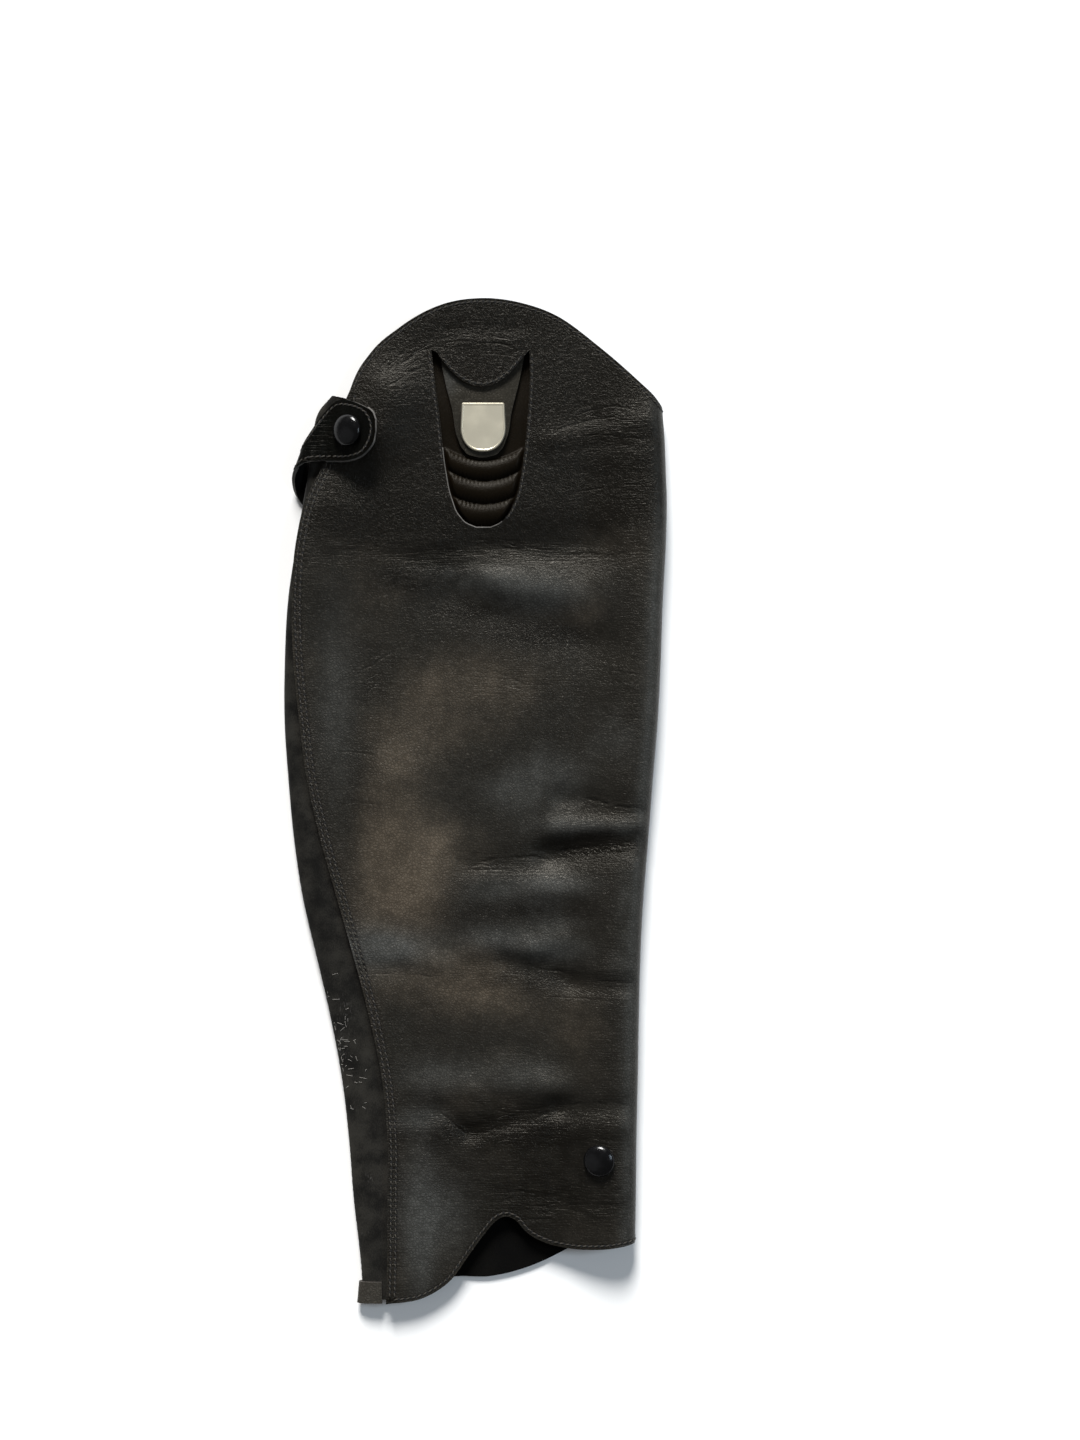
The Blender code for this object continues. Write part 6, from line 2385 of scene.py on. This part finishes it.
    def rim(self) -> None:
        """Builds the pale turned edge along the hole's lower left side and foot: partly the cut edge's pale
        colour, partly a painted highlight along the edges that face the light.
        """
        form = self.form
        y_left = np.linspace(168.0, 132.0, 60)
        y_left = np.concatenate([y_left, np.linspace(131.8, 130.15, 12)])
        y_right = np.linspace(130.15, 133.0, 14)
        x = np.concatenate([form.hole_left(y_left), form.hole_right(y_right)])
        y = np.concatenate([y_left, y_right])
        path = form.face(x, y)
        path[:, 2] -= 0.25
        piece = tube_piece("hole_edge", path, 0.32, 8)
        dress(piece, self.finishes.pale_raw)
        attach(piece, Slot.LEATHER)


@dataclass
class TopLining:
    """The facing strip and the mesh inside the curved top."""

    form: LegForm
    finishes: Finishes
    sewing: Sewing
    badge: BadgeInset
    facing_width: float = 9.5
    facing_ends: tuple[float, float] = (-56.0, 80.0)
    facing_flat: tuple[float, float] = (0.155, 0.010)
    facing_area: float = 0.00147
    mesh_sides: tuple[float, float] = (-16.0, 52.0)
    mesh_bottom: float = 127.0
    mesh_flat: tuple[float, float] = (0.068, 0.100)

    def edge_inset(self, x: Array, inset: Array) -> Array:
        """Gives places a distance in from the curved top's edge.

        Args:
            x: Places across the leg.
            inset: The distances in mm.

        Returns:
            The places, seen from above.
        """
        step = 0.5
        rise = self.form.outer_top(x + step) - self.form.outer_top(x - step)
        share = inset / np.hypot(2 * step, rise)
        return np.stack([x + rise * share, self.form.outer_top(x) - 2 * step * share], axis=-1)

    def build(self) -> None:
        """Builds the facing and the mesh patch."""
        form = self.form
        x = np.linspace(*self.facing_ends, 150)[None]
        inset = np.linspace(self.facing_width, 0.8, 12)[:, None]
        places = self.edge_inset(*np.broadcast_arrays(x, inset))
        points = form.below_face(places[..., 0], places[..., 1], form.leather + form.lining_gap)
        leather = (self.finishes.strap, self.finishes.strap, self.finishes.raw)
        piece = sheet_piece("facing", points, form.lining, leather)
        attach(piece, Slot.LEATHER, "top_facing")
        x = np.linspace(-54.0, 78.0, 300)
        places = self.edge_inset(x, np.full(x.shape, self.facing_width - 1.6))
        deep = form.leather + form.lining_gap + form.lining
        line = form.below_face(places[:, 0], places[:, 1], deep)
        normals = -normals_of(form.face, places[:, 0], places[:, 1], 0.5)
        self.sewing.row("stitches_facing", [(line, normals)])
        self.mesh_patch()

    def mesh_patch(self) -> None:
        """Builds the mesh lining behind the badge."""
        form = self.form
        coarse = LegForm(small_folds=False)
        x = np.linspace(*self.mesh_sides, 60)[None]
        share = np.linspace(0, 1, 80)[:, None]
        high = self.edge_inset(x[0], np.full(x[0].shape, self.facing_width + 2.4))[:, 1]
        y = lerp(self.mesh_bottom, high[None], share)
        x = np.broadcast_to(x, y.shape)
        badge = self.badge
        depth = badge.pad_depth(x, y) + badge.rib_height(x, y) + form.pad + form.seam_gap
        piece = sheet_piece("mesh_lining", coarse.below_face(x, y, depth), form.lining, (self.finishes.mesh,))
        attach(piece, Slot.MESH, "mesh_patch")


class Lamp(NamedTuple):
    """A soft light aimed at the half chap: place and width in metres, power in watts."""

    name: str
    place: Place
    width: float
    power: float
    colour: tuple[float, float, float]


LAMPS = table(Lamp, (
    ("fill", (-1.5, -0.6, 1.2), 2.4, 3.4, (0.93, 0.96, 1.0)),
    ("under light", (0.0, 0.0, -2.0), 4.0, 66.0, (1.0, 1.0, 1.0)),
    ("shin light", (1.15, 0.2, 1.25), 0.5, 9.0, (0.72, 0.86, 1.0)),
))


@dataclass
class Studio:
    """The floor, the lights and the camera."""

    aim: tuple[float, float] = (0.0308, 0.0387)
    camera_height: float = 1.108
    lens: float = 57.9
    floor_half: float = 40.0
    floor_gap: float = 0.06
    floor_colour: Colour = (0.84, 0.84, 0.835, 1.0)
    floor_marks: Colour = (0.87, 0.87, 0.865, 1.0)
    room_colour: Colour = (0.985, 0.99, 1.0, 1.0)
    sky: float = 0.13
    backdrop: float = 0.97
    key_strength: float = 7.0
    key_angle: float = 21.0
    key_side: Place = (-0.4, 4.2, 2.2)
    key_colour: tuple[float, float, float] = (1.0, 0.99, 0.975)
    rest_reach: float = 0.005

    def build(self) -> None:
        """Builds the whole studio."""
        self.floor()
        self.world()
        self.key()
        for lamp in LAMPS:
            self.soft_light(lamp)
        self.camera()
        bpy.context.scene.view_settings.view_transform = "Standard"

    def floor(self) -> None:
        """Builds the pale floor, clear from below and where something rests on it."""
        half = self.floor_half / MM
        low = -self.floor_gap
        points = np.array([[-half, -half, low], [half, -half, low], [half, half, low], [-half, half, low]])
        piece = mesh_piece("floor", points, [[0, 1, 2, 3]])
        nodes, shader, material = new_material("Floor")
        mark = nodes.noise(nodes.place(), 3.0, 2.0)
        nodes.feed(shader.inputs["Base Color"], nodes.mix(mark, self.floor_colour, self.floor_marks))
        shader.inputs["Roughness"].default_value = 0.9
        clear = nodes.add("ShaderNodeBsdfTransparent")
        back = nodes.add("ShaderNodeNewGeometry").outputs["Backfacing"]
        length = nodes.add("ShaderNodeLightPath").outputs["Ray Length"]
        resting = nodes.maths("LESS_THAN", length, self.rest_reach)
        seen_through = nodes.maths("MAXIMUM", back, resting)
        both = nodes.add("ShaderNodeMixShader", {0: seen_through, 1: shader.outputs[0], 2: clear.outputs[0]})
        leave = next(node for node in nodes.tree.nodes if node.type == "OUTPUT_MATERIAL")
        nodes.feed(leave.inputs["Surface"], both.outputs[0])
        dress(piece, material)

    def world(self) -> None:
        """Lights the room evenly, with a backdrop as pale as the floor."""
        world = bpy.data.worlds.new("Room")
        world.use_nodes = True
        nodes = Nodes(world.node_tree)
        background = world.node_tree.nodes["Background"]
        background.inputs["Color"].default_value = self.room_colour
        seen = nodes.add("ShaderNodeLightPath").outputs["Is Camera Ray"]
        nodes.feed(background.inputs["Strength"], nodes.ramp(seen, self.sky, self.backdrop))
        bpy.context.scene.world = world

    def key(self) -> None:
        """Hangs the main light, large and far off beyond the top edge."""
        data = bpy.data.lights.new("key", "SUN")
        data.energy = self.key_strength
        data.angle = math.radians(self.key_angle)
        data.color = self.key_colour
        self.hang(data, self.key_side)

    def soft_light(self, lamp: Lamp) -> None:
        """Hangs one soft round light.

        Args:
            lamp: The light.
        """
        data = bpy.data.lights.new(lamp.name, "AREA")
        data.shape = "DISK"
        data.size = lamp.width
        data.energy = lamp.power
        data.color = lamp.colour
        self.hang(data, lamp.place)

    def hang(self, data: bpy.types.Light, place: Place) -> None:
        """Hangs a light and aims it at the half chap.

        Args:
            data: The light.
            place: Where it hangs, in metres.
        """
        lamp = bpy.data.objects.new(data.name, data)
        bpy.context.scene.collection.objects.link(lamp)
        lamp.location = place
        lamp.rotation_euler = (-Vector(place)).to_track_quat("-Z", "Y").to_euler()

    def camera(self) -> None:
        """Looks straight down, as the photograph does."""
        data = bpy.data.cameras.new("camera")
        data.lens = self.lens
        data.clip_start = 0.02
        data.clip_end = 50.0
        camera = bpy.data.objects.new("camera", data)
        camera.location = (self.aim[0], self.aim[1], self.camera_height)
        bpy.context.scene.collection.objects.link(camera)
        bpy.context.scene.camera = camera


def main() -> None:
    """Builds the half chap round the loaded solids."""
    logging.basicConfig(level=logging.INFO, format="%(message)s")
    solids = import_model()["nodes"]
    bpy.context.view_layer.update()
    effects = Effects()
    effects.make_all()
    finishes = Finishes(effects)
    form = LegForm()
    sewing = Sewing(form, finishes)
    leather = LeatherBody(form, finishes, sewing)
    body = leather.build()
    CalfSide(form, finishes, sewing, solids).build()
    Strap(form, finishes, sewing, solids).build()
    AnkleSnap(form, finishes, solids).build()
    badge = BadgeInset(form, finishes, sewing)
    badge.build()
    TopLining(form, finishes, sewing, badge).build()
    Studio().build()


if __name__ == "__main__":
    main()
